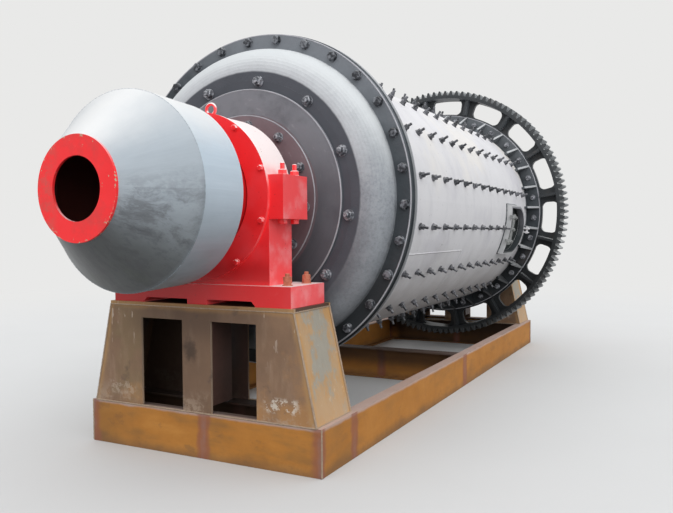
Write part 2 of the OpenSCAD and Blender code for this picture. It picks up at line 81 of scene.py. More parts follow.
axis_z = (low("ring_gear").z + high("ring_gear").z) / 2
shell_radius = radius_of("shell")
beam_top = high("front_beam").z
plate_top = high("feed_pedestal_top").z
frame_side = high("right_rail").x
stand_end = {"feed": low("front_beam").y, "discharge": high("rear_beam").y}
print("axis height:", round(axis_z, 3), "shell radius:", round(shell_radius, 3))

# %% [markdown]
# ## The camera
# The view could be set by eye. Here it was worked out from the bolt circles of the head and the edges of
# the frame, because only then do the render's edges fall where the picture's do. The camera stands a little
# below half height, to the right of the feed end, and looks along the mill, tilted slightly down.

# %% Camera
photo_size = (673, 513)
focal_px = 704.06
sensor_mm = 36.0
camera_place = Vector((2.740, -6.150, 1.3795))
camera_azimuth = math.radians(27.293)
camera_elevation = math.radians(1.906)
camera_roll = math.radians(-0.393)


def make_camera():
    data = bpy.data.cameras.new("camera")
    camera = bpy.data.objects.new("camera", data)
    bpy.context.collection.objects.link(camera)
    data.sensor_width = sensor_mm
    data.lens = data.sensor_width * focal_px / photo_size[0]
    data.clip_start, data.clip_end = 0.05, 200.0
    back = Vector((
        math.sin(camera_azimuth) * math.cos(camera_elevation),
        -math.cos(camera_azimuth) * math.cos(camera_elevation),
        math.sin(camera_elevation),
    ))
    turn = (-back).to_track_quat("-Z", "Y").to_matrix().to_4x4()
    camera.matrix_world = Matrix.Translation(camera_place) @ turn @ Matrix.Rotation(camera_roll, 4, "Z")
    bpy.context.scene.camera = camera
    return camera


camera = make_camera()
print("lens:", round(camera.data.lens, 2), "mm")

# %% [markdown]
# ## Light
# The mill is meant to stand in bright, even daylight. A panorama image could light it, but it would bring
# its own colours and reflections. Two very wide and soft suns give that light: one overhead and one low
# behind the camera. They light the whole floor evenly, and the world fills in the rest.

# %% Lamps
def make_sun(name, elevation, azimuth, strength, spread, tint):
    data = bpy.data.lights.new(name, "SUN")
    data.energy, data.angle, data.color = strength, math.radians(spread), tint
    lamp = bpy.data.objects.new(name, data)
    bpy.context.collection.objects.link(lamp)
    e, a = math.radians(elevation), math.radians(azimuth)
    towards = Vector((math.sin(a) * math.cos(e), -math.cos(a) * math.cos(e), math.sin(e)))
    lamp.rotation_euler = towards.to_track_quat("Z", "Y").to_euler()
    return lamp


make_sun("sky_sun", elevation=84, azimuth=40, strength=1.1, spread=100, tint=(0.98, 0.99, 1.0))
make_sun("front_sun", elevation=24, azimuth=42, strength=1.6, spread=80, tint=(1.0, 1.0, 1.0))
bpy.context.scene.view_settings.view_transform = "Standard"

# %% [markdown]
# ## Shader maths as Python
# A finish is a network of nodes. Every Math node could be made and linked by hand, but a mask then takes
# ten lines and nobody can read it. Wrapping a socket in a small class lets a mask be written as an
# expression: `1 - dust * 0.5` adds the Math nodes by itself.

# %% A socket as a number
class Value:
    """One output socket, as a number that can be calculated with."""

    def __init__(self, network, socket):
        self.network, self.socket = network, socket

    def maths(self, operation, first, second=0.0):
        return self.network.node("ShaderNodeMath", {"operation": operation}, {0: first, 1: second})

    def __add__(self, other):
        return self.maths("ADD", self, other)

    def __sub__(self, other):
        return self.maths("SUBTRACT", self, other)

    def __rsub__(self, other):
        return self.maths("SUBTRACT", other, self)

    def __mul__(self, other):
        return self.maths("MULTIPLY", self, other)

    def __truediv__(self, other):
        return self.maths("DIVIDE", self, other)

    def __rtruediv__(self, other):
        return self.maths("DIVIDE", other, self)

    def __pow__(self, other):
        return self.maths("POWER", self, other)

    def __rpow__(self, other):
        return self.maths("POWER", other, self)

    def __neg__(self):
        return self.maths("MULTIPLY", self, -1.0)

    def __abs__(self):
        return self.maths("ABSOLUTE", self)

    def least(self, other):
        return self.maths("MINIMUM", self, other)

    def most(self, other):
        return self.maths("MAXIMUM", self, other)

    __radd__ = __add__
    __rmul__ = __mul__


def srgb(red, green, blue):
    """A colour read as 0 to 255 on a screen, as linear light with an alpha of 1."""
    def linear(v):
        v = v / 255.0
        return v / 12.92 if v <= 0.04045 else ((v + 0.055) / 1.055) ** 2.4
    return (linear(red), linear(green), linear(blue), 1.0)


print("a linear mid grey:", round(srgb(128, 128, 128)[0], 3))

# %% [markdown]
# ## One method for every other node
# Materials and the world are both node trees, so one class serves both. Its method `node` makes a node of
# any type, sets what has to be set first and then fills or links the sockets. `rise` turns a place or a
# noise into a mask. `sight` asks Light Path what a ray is for: rays that show a thing to the camera,
# straight or by a mirror or through glass, can then see another colour than rays of plain light.

# %% The network class
ray_kinds = ("Is Camera Ray", "Is Glossy Ray", "Is Transmission Ray")


class Network:
    """The nodes of one material or of the world."""

    def __init__(self, tree):
        self.tree = tree
        self.tree.nodes.clear()

    def node(self, kind, settings=None, values=None, output=0):
        made = self.tree.nodes.new(kind)
        for key, setting in (settings or {}).items():
            setattr(made, key, setting)
        for key, value in (values or {}).items():
            if isinstance(value, Value):
                self.tree.links.new(value.socket, made.inputs[key])
            else:
                made.inputs[key].default_value = value
        return Value(self, made.outputs[output]) if made.outputs else None

    def rise(self, value, start, end):
        """0 below start, 1 above end and smooth between. With start above end it falls instead."""
        values = {"Value": value, "From Min": min(start, end), "From Max": max(start, end)}
        made = self.node("ShaderNodeMapRange", {"interpolation_type": "SMOOTHSTEP"}, values)
        return 1.0 - made if start > end else made

    def sight(self):
        """1 for a ray that shows something to the camera, 0 for a ray of plain light."""
        camera_ray, mirror_ray, glass_ray = (self.node("ShaderNodeLightPath", output=k) for k in ray_kinds)
        return self.rise(camera_ray + mirror_ray + glass_ray, 0.0, 1.0)


print("kinds of ray that see:", len(ray_kinds))

# %% [markdown]
# ## A finish as coats of colour
# Real paint is a stack: a coat, then dust, grime and scratches over it. A finish is built the same way. It
# starts from two shades mixed by noise, and `lay` puts one more colour over what is there, as far as a mask
# goes. A single picture wrapped round the part could show the same, but it would need unfolded surfaces,
# and it would blur in a close view.

# %% The finish class
class Finish(Network):
    """A material, its nodes and the colour that is built up in it."""

    def __init__(self, name):
        self.material = bpy.data.materials.new(name)
        self.material.use_nodes = True
        super().__init__(self.material.node_tree)
        self.colour = None
        self.place = self.node("ShaderNodeTexCoord", output="Object")
        self.x, self.y, self.z = (self.part(self.place, i) for i in range(3))
        normal = self.node("ShaderNodeTexCoord", output="Normal")
        self.normal_x, self.normal_y, self.up = (self.part(normal, i) for i in range(3))

    def part(self, vector, axis):
        return self.node("ShaderNodeSeparateXYZ", None, {"Vector": vector}, axis)

    def joined(self, x, y, z):
        return self.node("ShaderNodeCombineXYZ", None, {0: x, 1: y, 2: z})

    def stretch(self, *scale):
        return self.node("ShaderNodeVectorMath", {"operation": "MULTIPLY"}, {0: self.place, 1: scale})

    def noise(self, scale, detail=4.0, roughness=0.55, vector=None):
        values = {"Vector": vector or self.place, "Scale": scale, "Detail": detail, "Roughness": roughness}
        return self.node("ShaderNodeTexNoise", None, values)

    def mix(self, mask, base, top):
        """A colour is a link, linear light with alpha, or three numbers as on a screen."""
        base, top = (srgb(*c) if isinstance(c, tuple) and len(c) == 3 else c for c in (base, top))
        return self.node("ShaderNodeMix", {"data_type": "RGBA"}, {0: mask, 6: base, 7: top}, 2)

    def lay(self, mask, top):
        """Lays one more colour over the colour so far, where the mask is 1."""
        self.colour = self.mix(mask, self.colour, top)

    def bump(self, height, distance, strength=1.0):
        values = {"Height": height, "Distance": distance, "Strength": strength}
        return self.node("ShaderNodeBump", None, values)

    def shader(self, roughness, metallic=0.0, coat=0.0, normal=None, gloss=0.25):
        values = {
            "Base Color": self.colour, "Roughness": roughness, "Metallic": metallic,
            "Coat Weight": coat, "Coat Roughness": 0.12, "Specular IOR Level": gloss,
        }
        if normal:
            values["Normal"] = normal
        return self.node("ShaderNodeBsdfPrincipled", None, values)

    def finish(self, roughness, **more_looks):
        return self.hand_over(self.shader(roughness, **more_looks))

    def hand_over(self, shader):
        self.node("ShaderNodeOutputMaterial", None, {"Surface": shader})
        return self.material


print("finish class ready")

# %% [markdown]
# ## The world
# In daylight the mill is lit from every side. The world gives that fill to rays of plain light. To rays
# that see, it is a pale backdrop. The light could simply be turned up until the backdrop is pale, but then
# the mill would be washed out, so the two are kept apart.

# %% World
backdrop = srgb(233, 233, 232)
daylight, daylight_fill = srgb(250, 252, 255), 0.82


def make_world():
    world = bpy.data.worlds.new("studio")
    bpy.context.scene.world = world
    world.use_nodes = True
    nodes = Network(world.node_tree)
    fill = nodes.node("ShaderNodeBackground", None, {"Color": daylight, "Strength": daylight_fill})
    pale = nodes.node("ShaderNodeBackground", None, {"Color": backdrop, "Strength": 1.0})
    both = nodes.node("ShaderNodeMixShader", None, {0: nodes.sight(), 1: fill, 2: pale})
    nodes.node("ShaderNodeOutputWorld", None, {"Surface": both})
    return world


print("world:", make_world().name)

# %% [markdown]
# ## The floor
# The mill needs something to stand on that holds its shadow. A plain plane would end in a horizon. This one
# fades into the backdrop some way out, and close to the mill it is an ordinary surface. Rays of plain light
# see it darker, which keeps the underside of the mill dark without a dark floor in the picture.

# %% Floor
floor_bounce = (0.17, 0.17, 0.17, 1.0)
floor_reach = 90.0
fade_start, fade_end = 5.0, 13.0
floor_drop = 0.001


def floor_finish():
    f = Finish("pale_floor")
    seen = f.sight()
    pale = f.mix(f.noise(0.6, 3.0), (199, 199, 198), (204, 204, 203))
    f.colour = f.mix(seen, floor_bounce, pale)
    near_floor = f.shader(0.9, normal=f.bump(f.noise(60.0, 4.0), 0.002, 0.3))
    far = f.rise((f.x * f.x + f.y * f.y) ** 0.5, fade_start, fade_end)
    glow = f.node("ShaderNodeEmission", None, {"Color": backdrop, "Strength": 1.0})
    return f.hand_over(f.node("ShaderNodeMixShader", None, {0: far * seen, 1: near_floor, 2: glow}))


def make_floor():
    corners = [(-1, -1), (1, -1), (1, 1), (-1, 1)]
    mesh = bpy.data.meshes.new("floor")
    mesh.from_pydata([(x * floor_reach, y * floor_reach, 0) for x, y in corners], [], [(0, 1, 2, 3)])
    floor = bpy.data.objects.new("floor", mesh)
    bpy.context.collection.objects.link(floor)
    floor.location.z = -floor_drop
    mesh.materials.append(floor_finish())
    return floor


print("floor corners:", len(make_floor().data.vertices))

# %% [markdown]
# ## Drum coordinates
# Streaks and turning marks on a drum run round it or along it. Noise in plain X, Y and Z would slant and
# cross the curve. So the finishes of the drum work with the distance off the axis, the angle round it and
# the place along it. A third helper tells how much a face looks straight out of the drum.

# %% Drum coordinates
def off_axis(f):
    """Distance from the drum's axis."""
    height = f.z - axis_z
    return (f.x * f.x + height * height) ** 0.5


def round_axis(f):
    """Angle round the drum's axis, in radians."""
    height = f.z - axis_z
    return height.maths("ARCTAN2", height, f.x)


def facing_out(f, radius):
    """How much a face looks straight away from the axis."""
    return (f.normal_x * f.x + f.up * (f.z - axis_z)) / radius


print("drum coordinates start at the height", round(axis_z, 3))

# %% [markdown]
# ## Red enamel
# The bearing housings are brushed with red enamel. Faces that look up carry a pale film that turns them
# pink, and nearly white on top of the cap; it is partly dust and partly a painted reflection of the sky.
# The film could be a second material on chosen faces, but its edge would be hard. The mask is the upward
# part of the normal, broken up by noise, and it also makes the film dull where bare enamel shines. Painted
# shade darkens the foot's front, the part below the axis and, with grime, the faces that look down. Faces
# that look along X carry a pale painted reflection.

# %% Red enamel
def red_enamel():
    f = Finish("red_enamel")
    brushed = f.noise(5.0, 5.0, 0.6)
    f.colour = f.mix(brushed, (244, 30, 34), (255, 44, 48))
    dull_patches = f.rise(f.noise(2.2, 3.0), 0.46, 0.68) * 0.4 + 0.12
    f.lay(dull_patches, (250, 92, 98))
    # Faces that look along X get a pale painted reflection of their bright surroundings.
    painted_reflection = f.rise(f.normal_x, 0.6, 0.9) * (0.2 + f.rise(f.noise(6.0, 4.0), 0.42, 0.62) * 0.45)
    f.lay(painted_reflection, (248, 150, 152))
    # Faces that look down are darkened in patches, partly grime and partly painted shade.
    grime_and_shade_below = f.rise(f.noise(7.0, 5.0, 0.65), 0.56, 0.72) * f.rise(f.up, 0.2, -0.6) * 0.5
    f.lay(grime_and_shade_below, (120, 16, 18))
    below_axis = f.rise(f.z + (brushed - 0.5) * 0.2, axis_z - 0.22, axis_z - 0.5)
    shadow = below_axis * f.rise(f.z, plate_top + 0.13, plate_top + 0.16)
    f.lay(shadow * f.rise(abs(f.normal_y), 0.6, 0.9) * 0.4, (160, 20, 24))
    on_foot = f.rise(f.z, plate_top + 0.30, plate_top + 0.20)
    # The front of the foot is painted darker as shade, most on its left, which lies in the feeder's shade.
    painted_foot_shade = on_foot * f.rise(f.x, 0.35, -0.45) * f.rise(-f.normal_y, 0.6, 0.9)
    f.lay(painted_foot_shade * 0.75, (128, 10, 12))
    f.lay(on_foot * f.rise(-f.normal_y, 0.6, 0.9) * 0.42, (176, 12, 16))
    # The pale film on faces that look up is partly dust and partly a painted reflection of the sky. It is
    # weaker between the foot and the cap, as painted shade.
    high_up = f.rise(f.z, axis_z - 0.35, axis_z + 0.12)
    dust_and_sky_light = f.rise(f.up + f.noise(9.0, 4.0) * 0.24, 0.14, 0.54) * (high_up * 0.36 + on_foot * 0.30 + 0.62)
    f.lay(dust_and_sky_light, (241, 229, 227))
    specks = f.rise(f.noise(70.0, 2.0), 0.70, 0.76)
    f.lay(specks * 0.6, (130, 40, 36))
    roughness = 0.28 + dust_and_sky_light * 0.3 + dull_patches * 0.35
    relief = f.bump(f.noise(26.0, 4.0) + brushed * 0.6, 0.004, 0.22)
    return f.finish(roughness, coat=0.18 - dust_and_sky_light * 0.16, normal=relief, gloss=0.35)


red = red_enamel()
print("finish:", red.name)

# %% [markdown]
# The mouth of the feeder has the same red, but feed and tools have chipped it down to the pale coat under
# it. The chips are noise with a hard threshold. Close to the rim the threshold is easier to pass, because a
# rim is what gets hit.

# %% Chipped red
mouth_rim = radius_of("feeder_mouth_ring")
rim_width = 0.03


def chipped_red():
    f = Finish("chipped_red")
    brushed = f.noise(6.0, 5.0, 0.6)
    f.colour = f.mix(brushed, (246, 38, 42), (255, 54, 58))
    rim = f.rise(off_axis(f), mouth_rim - rim_width, mouth_rim)
    chips = f.rise(f.noise(30.0, 5.0, 0.7) + rim * 0.12, 0.69, 0.71)
    f.lay(chips, (196, 178, 150))
    stain = f.rise(f.noise(5.0, 5.0, 0.6), 0.50, 0.70) * 0.45
    f.lay(stain, (196, 70, 66))
    scraped = f.rise(f.x + (brushed - 0.5) * 0.2, -0.10, -0.24) * f.rise(f.noise(11.0, 5.0, 0.7), 0.40, 0.58)
    f.lay(scraped * 0.45, (166, 104, 92))
    # Faces that look up are paler, partly dust and partly painted light from the sky.
    f.lay(f.rise(f.up, 0.3, 1.0) * 0.8, (220, 200, 200))
    relief = f.bump(f.noise(24.0, 4.0) - chips * 0.8, 0.004, 0.3)
    return f.finish(0.36 + chips * 0.3, coat=0.12, normal=relief)


mouth_red = chipped_red()
print("finish:", mouth_red.name)

# %% [markdown]
# ## Two shared colours
# The black paint and the dark grey of the head's bolt ring show on more than one piece and have to look
# alike where the pieces meet. Each could be written out again in every finish, but a change would then have
# to be made in several places. A function for each mixes it from a few shades.

# %% Shared colours
def black_colour(f):
    colour = f.mix(f.noise(9.0, 5.0, 0.65), (46, 51, 55), (70, 76, 81))
    colour = f.mix(f.rise(f.noise(3.0, 4.0), 0.52, 0.70) * 0.35, colour, (98, 103, 107))
    # Below the axis the black is painted darker, as shade.
    return f.mix(f.rise(f.z, axis_z + 0.1, axis_z - 0.7) * 0.7, colour, (27, 29, 31))


def dark_ring_colour(f):
    return f.mix(f.noise(5.0, 5.0, 0.6), (66, 69, 75), (87, 89, 96))


print("shared colours:", black_colour.__name__, dark_ring_colour.__name__)

# %% [markdown]
# ## Primer on the shell
# The shell has light grey primer with faint runs that follow the curve of the plate, some warmer patches
# and a browner underside. One flat grey would look like plastic. The layers are faint, and their noises
# differ in size and stretch, so that no pattern shows. Towards the gussets the black of the gear end has
# been sprayed over it with a soft edge.

# %% Shell primer
black_from_y = low("gussets").y + 0.06


def shell_primer():
    f = Finish("shell_primer")
    radius, angle = off_axis(f), round_axis(f)
    mottle = f.noise(3.0, 5.0, 0.6)
    f.colour = f.mix(mottle, (208, 207, 209), (222, 221, 223))
    runs = f.noise(1.0, 5.0, 0.6, f.joined(angle * 2.2, f.y * 5.0, radius))
    f.lay(f.rise(runs, 0.46, 0.74) * 0.34, (188, 187, 192))
    patches = f.rise(f.noise(1.7, 4.0, 0.6), 0.50, 0.66)
    f.lay(patches * 0.35, (190, 188, 196))
    fine_runs = f.noise(1.0, 4.0, 0.6, f.joined(angle * 7.0, f.y * 12.0 + mottle * 3.5, radius))
    f.lay(f.rise(fine_runs, 0.55, 0.72) * patches * 0.4, (166, 164, 170))
    warm = f.rise(f.noise(1.2, 4.0, 0.6), 0.48, 0.62) * f.rise(f.up, -0.2, 0.4)
    f.lay(warm * 0.4, (232, 226, 214))
    drips = f.noise(1.0, 5.0, 0.65, f.joined(angle * 9.0, f.y * 30.0, radius))
    f.lay(f.rise(drips, 0.66, 0.74) * f.rise(f.noise(1.3, 3.0), 0.52, 0.64) * 0.5, (128, 126, 130))
    brown = f.rise(f.up + (mottle - 0.5) * 0.5, -0.25, -0.95)
    f.lay(brown * 0.55, (138, 132, 126))
    scuffs = f.rise(f.noise(40.0, 3.0), 0.68, 0.74)
    f.lay(scuffs * 0.5, (126, 124, 122))
    sprayed = f.rise(f.y + (f.noise(14.0, 4.0) - 0.5) * 0.05, black_from_y, black_from_y + 0.06)
    f.lay(sprayed, black_colour(f))
    # The shell's cut faces, seen inside the manhole, are painted dark as the shade of the recess.
    cut = f.rise(facing_out(f, radius), 0.6, 0.4)
    cut *= f.rise(radius, shell_radius - 0.0005, shell_radius - 0.0015)
    f.lay(cut, (48, 52, 52))
    relief = f.bump(mottle + f.noise(60.0, 3.0) * 0.3, 0.004, 0.3)
    return f.finish(0.6 - runs * 0.1, normal=relief)


shell_paint = shell_primer()
print("finish:", shell_paint.name)

# %% [markdown]
# ## Primer on the heads
# The heads are sand castings under the same primer, so they are mottled and slightly pitted. The pits could
# be sculpted, but they are smaller than a pixel, so a bump is enough. Each ring of the head is told by its
# radius: the grey shoulder, the dark ring for the bolts inside it and the black flange outside it.

# %% Cast primer
plate_edge, ring_edge, shoulder_edge = 0.741, 0.862, 1.042
slope_outer, slope_inner = 1.0, 0.88


def cast_primer():
    f = Finish("cast_primer")
    radius = off_axis(f)
    mottle = f.noise(7.0, 6.0, 0.65)
    f.colour = f.mix(mottle, (140, 145, 150), (164, 168, 173))
    speckle = f.rise(f.noise(48.0, 6.0, 0.75), 0.44, 0.64)
    f.lay(speckle * 0.40, (108, 112, 118))
    blotch = f.rise(f.noise(3.6, 5.0, 0.65), 0.50, 0.64)
    f.lay(blotch * 0.3, (118, 122, 130))
    # Faces that look up are paler, partly dust and partly painted light from the sky.
    dust_and_sky_light = f.rise(f.up + mottle * 0.2, 0.06, 0.62)
    f.lay(dust_and_sky_light * 0.85, (208, 211, 212))
    # The upper half of the shoulder's inner slope is lightened as a painted highlight.
    inner_slope = f.rise(radius, slope_outer, slope_inner)
    f.lay(inner_slope * f.rise(f.z, axis_z, axis_z + 0.4) * 0.45, (218, 220, 222))
    # Faces that look down are darkened, partly grime and partly painted shade.
    grime_and_shade_below = f.rise(f.up + (mottle - 0.5) * 0.4, 0.05, -0.75)
    f.lay(grime_and_shade_below * 0.4, (98, 100, 104))
    shaded = f.rise(f.z + (mottle - 0.5) * 0.3, axis_z + 0.08, axis_z - 0.60)
    f.lay(shaded * (inner_slope * 0.6 + 0.2), (78, 81, 86))
    ring = f.rise(radius + (mottle - 0.5) * 0.012, ring_edge + 0.008, ring_edge - 0.008)
    f.lay(ring, dark_ring_colour(f))
    band = f.rise(radius, shoulder_edge - 0.006, shoulder_edge + 0.004)
    sheen = f.rise(f.x * 0.35 + (f.z - axis_z) * 0.95 + (mottle - 0.5) * 0.4, 0.45, 1.15)
    f.lay(band, f.mix(sheen * 0.7, black_colour(f), (138, 142, 148)))
    relief = f.bump(f.noise(30.0, 5.0, 0.7), 0.006, 0.5)
    return f.finish(0.60 - speckle * 0.08, normal=relief)


head_paint = cast_primer()
print("finish:", head_paint.name)

# %% [markdown]
# ## Black paint
# Flanges, gussets and gear are painted black and have gone dull. Faces that look up are paler, partly dust
# and partly a painted highlight, and the black is painted lighter grey higher up, as light from above. The
# paint is worn to grey on edges that look straight out of the drum. Three versions differ only in how much
# of each they have, so one function with a few amounts makes them all.

# %% Black paint
gear_radius = radius_of("ring_gear")
tooth_depth = 0.045
gear_face_from = shell_radius + 0.13


def black_paint(name, dust_and_highlight_amount, worn_amount, top_light_amount, top_light_start):
    f = Finish(name)
    radius = off_axis(f)
    wear = f.noise(12.0, 5.0, 0.6)
    f.colour = black_colour(f)
    # Dust, highlight and most of the wear stay above the lowest part of the drum.
    high_on_drum = f.rise(f.z, axis_z - 0.85, axis_z - 0.35)
    # Faces that look up are paler, partly dust and partly a painted highlight from the sky.
    dust_and_highlight = f.rise(f.up + wear * 0.4, 0.30, 0.95) * high_on_drum * dust_and_highlight_amount
    # Higher up the black is painted lighter grey, as light from above.
    painted_top_light = f.rise(f.z + (wear - 0.5) * 0.5, axis_z + top_light_start, axis_z + top_light_start + 1.2) * top_light_amount
    f.lay(painted_top_light, (128, 132, 136))
    f.lay(dust_and_highlight, (212, 214, 214))
    worn = f.rise(facing_out(f, radius) + (wear - 0.5) * 0.5, 0.55, 0.80) * (high_on_drum * 0.8 + 0.2) * worn_amount
    f.lay(worn, (186, 188, 190))
    tooth = f.rise(radius, gear_radius - tooth_depth - 0.015, gear_radius - tooth_depth)
    # The upper faces of the teeth are paler, partly rubbed and partly a painted highlight.
    rubbed_and_highlight = tooth * f.rise(f.up + (wear - 0.5) * 0.5, 0.0, 0.5) * f.rise(f.z, axis_z - 0.6, axis_z - 0.1)
    f.lay(rubbed_and_highlight * 0.55, (206, 208, 206))
    f.lay(tooth * 0.28, (150, 153, 154))
    front = f.rise(abs(f.normal_y), 0.6, 0.8) * f.rise(radius, gear_face_from, gear_face_from + 0.02)
    f.lay(front * 0.75, (26, 28, 29))
    brown = f.rise(f.noise(5.0, 5.0, 0.65), 0.56, 0.72) * 0.25
    f.lay(brown, (92, 82, 76))
    relief = f.bump(f.noise(40.0, 4.0, 0.6), 0.003, 0.3)
    return f.finish(0.46 + dust_and_highlight * 0.3, normal=relief)


black = black_paint("black_paint", dust_and_highlight_amount=0.4, worn_amount=0.3, top_light_amount=0.45, top_light_start=-0.2)
gusset_black = black_paint(
    "gusset_black", dust_and_highlight_amount=0.85, worn_amount=0.85, top_light_amount=0.55, top_light_start=-0.2)
gear_black = black_paint("gear_black", dust_and_highlight_amount=0.95, worn_amount=0.15, top_light_amount=0.5, top_light_start=-0.7)
print("black finishes:", black.name, gusset_black.name, gear_black.name)

# %% [markdown]
# ## Turned castings
# The plates and flanges round the trunnion are castings that were machined on a lathe. The tool leaves fine
# rings, which are noise stretched round the axis. Modelled grooves would need very many faces for the same
# look. Inside the hub's edge a purple-brown tint paints the reflection of the red housing, and the neck has
# caught red overspray from its painted housing. The casting is painted lighter above the axis and darker
# below it, as light and shade.

# %% Turned casting
hub_edge = 0.575
spray_from_y, spray_to_y = 2.64, 2.96


def turned_casting():
    f = Finish("turned_casting")
    radius, angle = off_axis(f), round_axis(f)
    marks = f.noise(1.0, 3.0, 0.6, f.joined(radius * 260.0, angle * 0.6, 0.0))
    smudge = f.noise(3.5, 5.0, 0.6)
    f.colour = f.mix(smudge, (66, 68, 74), (96, 99, 105))
    lit = f.rise(f.z + (smudge - 0.5) * 0.5, axis_z - 0.35, axis_z + 0.7)
    f.lay(lit * 0.7, (136, 136, 142))
    # Below the axis the casting is painted darker, as shade.
    f.lay(f.rise(f.z, axis_z - 0.1, axis_z - 0.7) * 0.6, (54, 54, 59))
    # Inside the hub's edge, a purple-brown tint is a painted reflection of the red housing.
    brown = f.rise(radius + (smudge - 0.5) * 0.05, hub_edge, hub_edge - 0.015)
    f.lay(brown * 0.8, f.mix(smudge, (108, 78, 82), (140, 120, 124)))
    stain = f.rise(f.noise(2.4, 5.0, 0.65), 0.50, 0.66)
    f.lay(stain * 0.5, (68, 70, 77))
    scuff = f.rise(f.noise(1.0, 5.0, 0.7, f.joined(radius * 22.0, angle * 5.0, 3.0)), 0.58, 0.68)
    f.lay(scuff * f.rise(f.z, axis_z - 0.2, axis_z + 0.4) * 0.4, (154, 152, 156))
    f.lay(marks * 0.16, (156, 157, 160))
    f.lay(f.rise(radius, plate_edge, plate_edge + 0.002), dark_ring_colour(f))
    away = abs(f.y)
    overspray = f.rise(away + (smudge - 0.5) * 0.08, spray_to_y, spray_to_y - 0.06)
    overspray *= f.rise(away, spray_from_y, spray_from_y + 0.02)
    f.lay(overspray * f.rise(facing_out(f, radius), 0.3, 0.6), (206, 30, 34))
    relief = f.bump(marks, 0.0015, 0.35)
    return f.finish(0.40 + smudge * 0.14, metallic=0.2, normal=relief)


casting = turned_casting()
print("finish:", casting.name)

# %% [markdown]
# ## Primer on the feeder
# The feeder has blue-grey primer, laid on with a broad brush along its cone. The cone is smeared with dark
# grease underneath, where it has been handled. The smears follow the cone round, so their noise is made in
# drum coordinates too. Faces that look up are paler, partly dust and partly painted sky light. Faces that
# look down are darker, partly dirt and partly painted shade, with a greenish painted shadow at the bottom.
# The inside is rusty, and the radius keeps that colour off the outer skin.

# %% Feeder primer
feeder_seam = high("feeder_cone").y
feeder_wall_radius = radius_of("feeder_cone")


def feeder_primer():
    f = Finish("feeder_primer")
    radius, angle = off_axis(f), round_axis(f)
    strokes = f.noise(1.0, 5.0, 0.62, f.joined(angle * 16.0, f.y * 2.2, radius))
    cloud = f.noise(2.6, 5.0, 0.6)
    cone = f.rise(f.y, feeder_seam + 0.004, feeder_seam - 0.004)
    f.colour = f.mix(strokes, (176, 190, 202), (196, 209, 219))
    soft = f.noise(1.0, 4.0, 0.55, f.joined(angle * 3.0, f.y * 2.5, radius * 2.0))
    f.lay(cone * 0.9, f.mix(soft * 0.7 + strokes * 0.3, (138, 147, 155), (176, 184, 190)))
    f.lay(f.rise(cloud, 0.5, 0.7) * 0.3, (152, 158, 164))
    # Faces that look up are paler, partly dust and partly painted light from the sky.
    dust_and_sky_light = f.rise(f.up + (cloud - 0.5) * 0.3, 0.32, 0.86)
    f.lay(dust_and_sky_light * 0.85, (224, 223, 221))
    # Faces that look down are darkened, partly dirt and partly painted shade.
    dirt_and_shade_below = f.rise(f.up + (cloud - 0.5) * 0.4, 0.05, -0.65)
    f.lay(dirt_and_shade_below * (0.35 + cone * 0.5), (72, 73, 70))
    wander = (f.noise(7.0, 3.0) - 0.5) * 0.9
    broad = f.joined(angle * 3.4 + wander, f.y * 3.4 + wander, radius * 4.0)
    smear = f.rise(f.noise(1.0, 6.0, 0.72, broad), 0.46, 0.64)
    f.lay(smear * cone * f.rise(f.up, 0.30, -0.25) * 0.62, (82, 83, 86))
    narrow = f.joined(angle * 9.0 + wander, f.y * 9.0 - wander, radius * 9.0)
    fine = f.rise(f.noise(1.0, 6.0, 0.75, narrow), 0.50, 0.62)
    f.lay(fine * cone * f.rise(f.up, 0.25, -0.35) * 0.35, (74, 76, 80))
    off_seam = abs(f.y + (strokes - 0.5) * 0.012 - feeder_seam + 0.006)
    seam = f.rise(off_seam, 0.012, 0.002) * f.rise(f.up, 0.3, -0.2)
    f.lay(seam * 0.4, (112, 118, 124))
    # A greenish patch on the lowest faces is painted shadow.
    green = f.rise(f.noise(4.0, 3.0), 0.5, 0.7) * f.rise(f.up, -0.5, -0.9)
    f.lay(green * 0.5, (84, 92, 76))
    within = f.rise(radius, feeder_wall_radius - 0.008, feeder_wall_radius - 0.014)
    f.lay(f.rise(facing_out(f, radius), -0.2, -0.4) * within, (112, 62, 54))
    f.lay(f.rise(f.normal_y, -0.90, -0.95) * within, (84, 46, 42))
    relief = f.bump(strokes + f.noise(50.0, 3.0) * 0.2, 0.004, 0.25)
    return f.finish(0.46 - strokes * 0.08, coat=0.1, normal=relief)


feeder_paint = feeder_primer()
print("finish:", feeder_paint.name)

# %% [markdown]
# ## Mill scale on the pedestals
# Hot-rolled steel leaves the rolling mill with a blue-grey to brown scale. Outdoors it turns ochre where
# the scale has come off. The pedestals are still mostly scale, with rust at their foot and along their cut
# edges. The masks for rust and scratches could be painted by hand. They are measured from the plate's edges
# instead, so they sit where rust and scratches would start on the real one.

# %% Mill scale
wall_foot = high("feed_pedestal_outer_wall").x
wall_slope = (high("feed_pedestal_top").x - wall_foot) / (plate_top - beam_top)
outer_wall_y = -high("feed_pedestal_outer_wall").y
inner_wall_y = -low("feed_pedestal_inner_wall").y


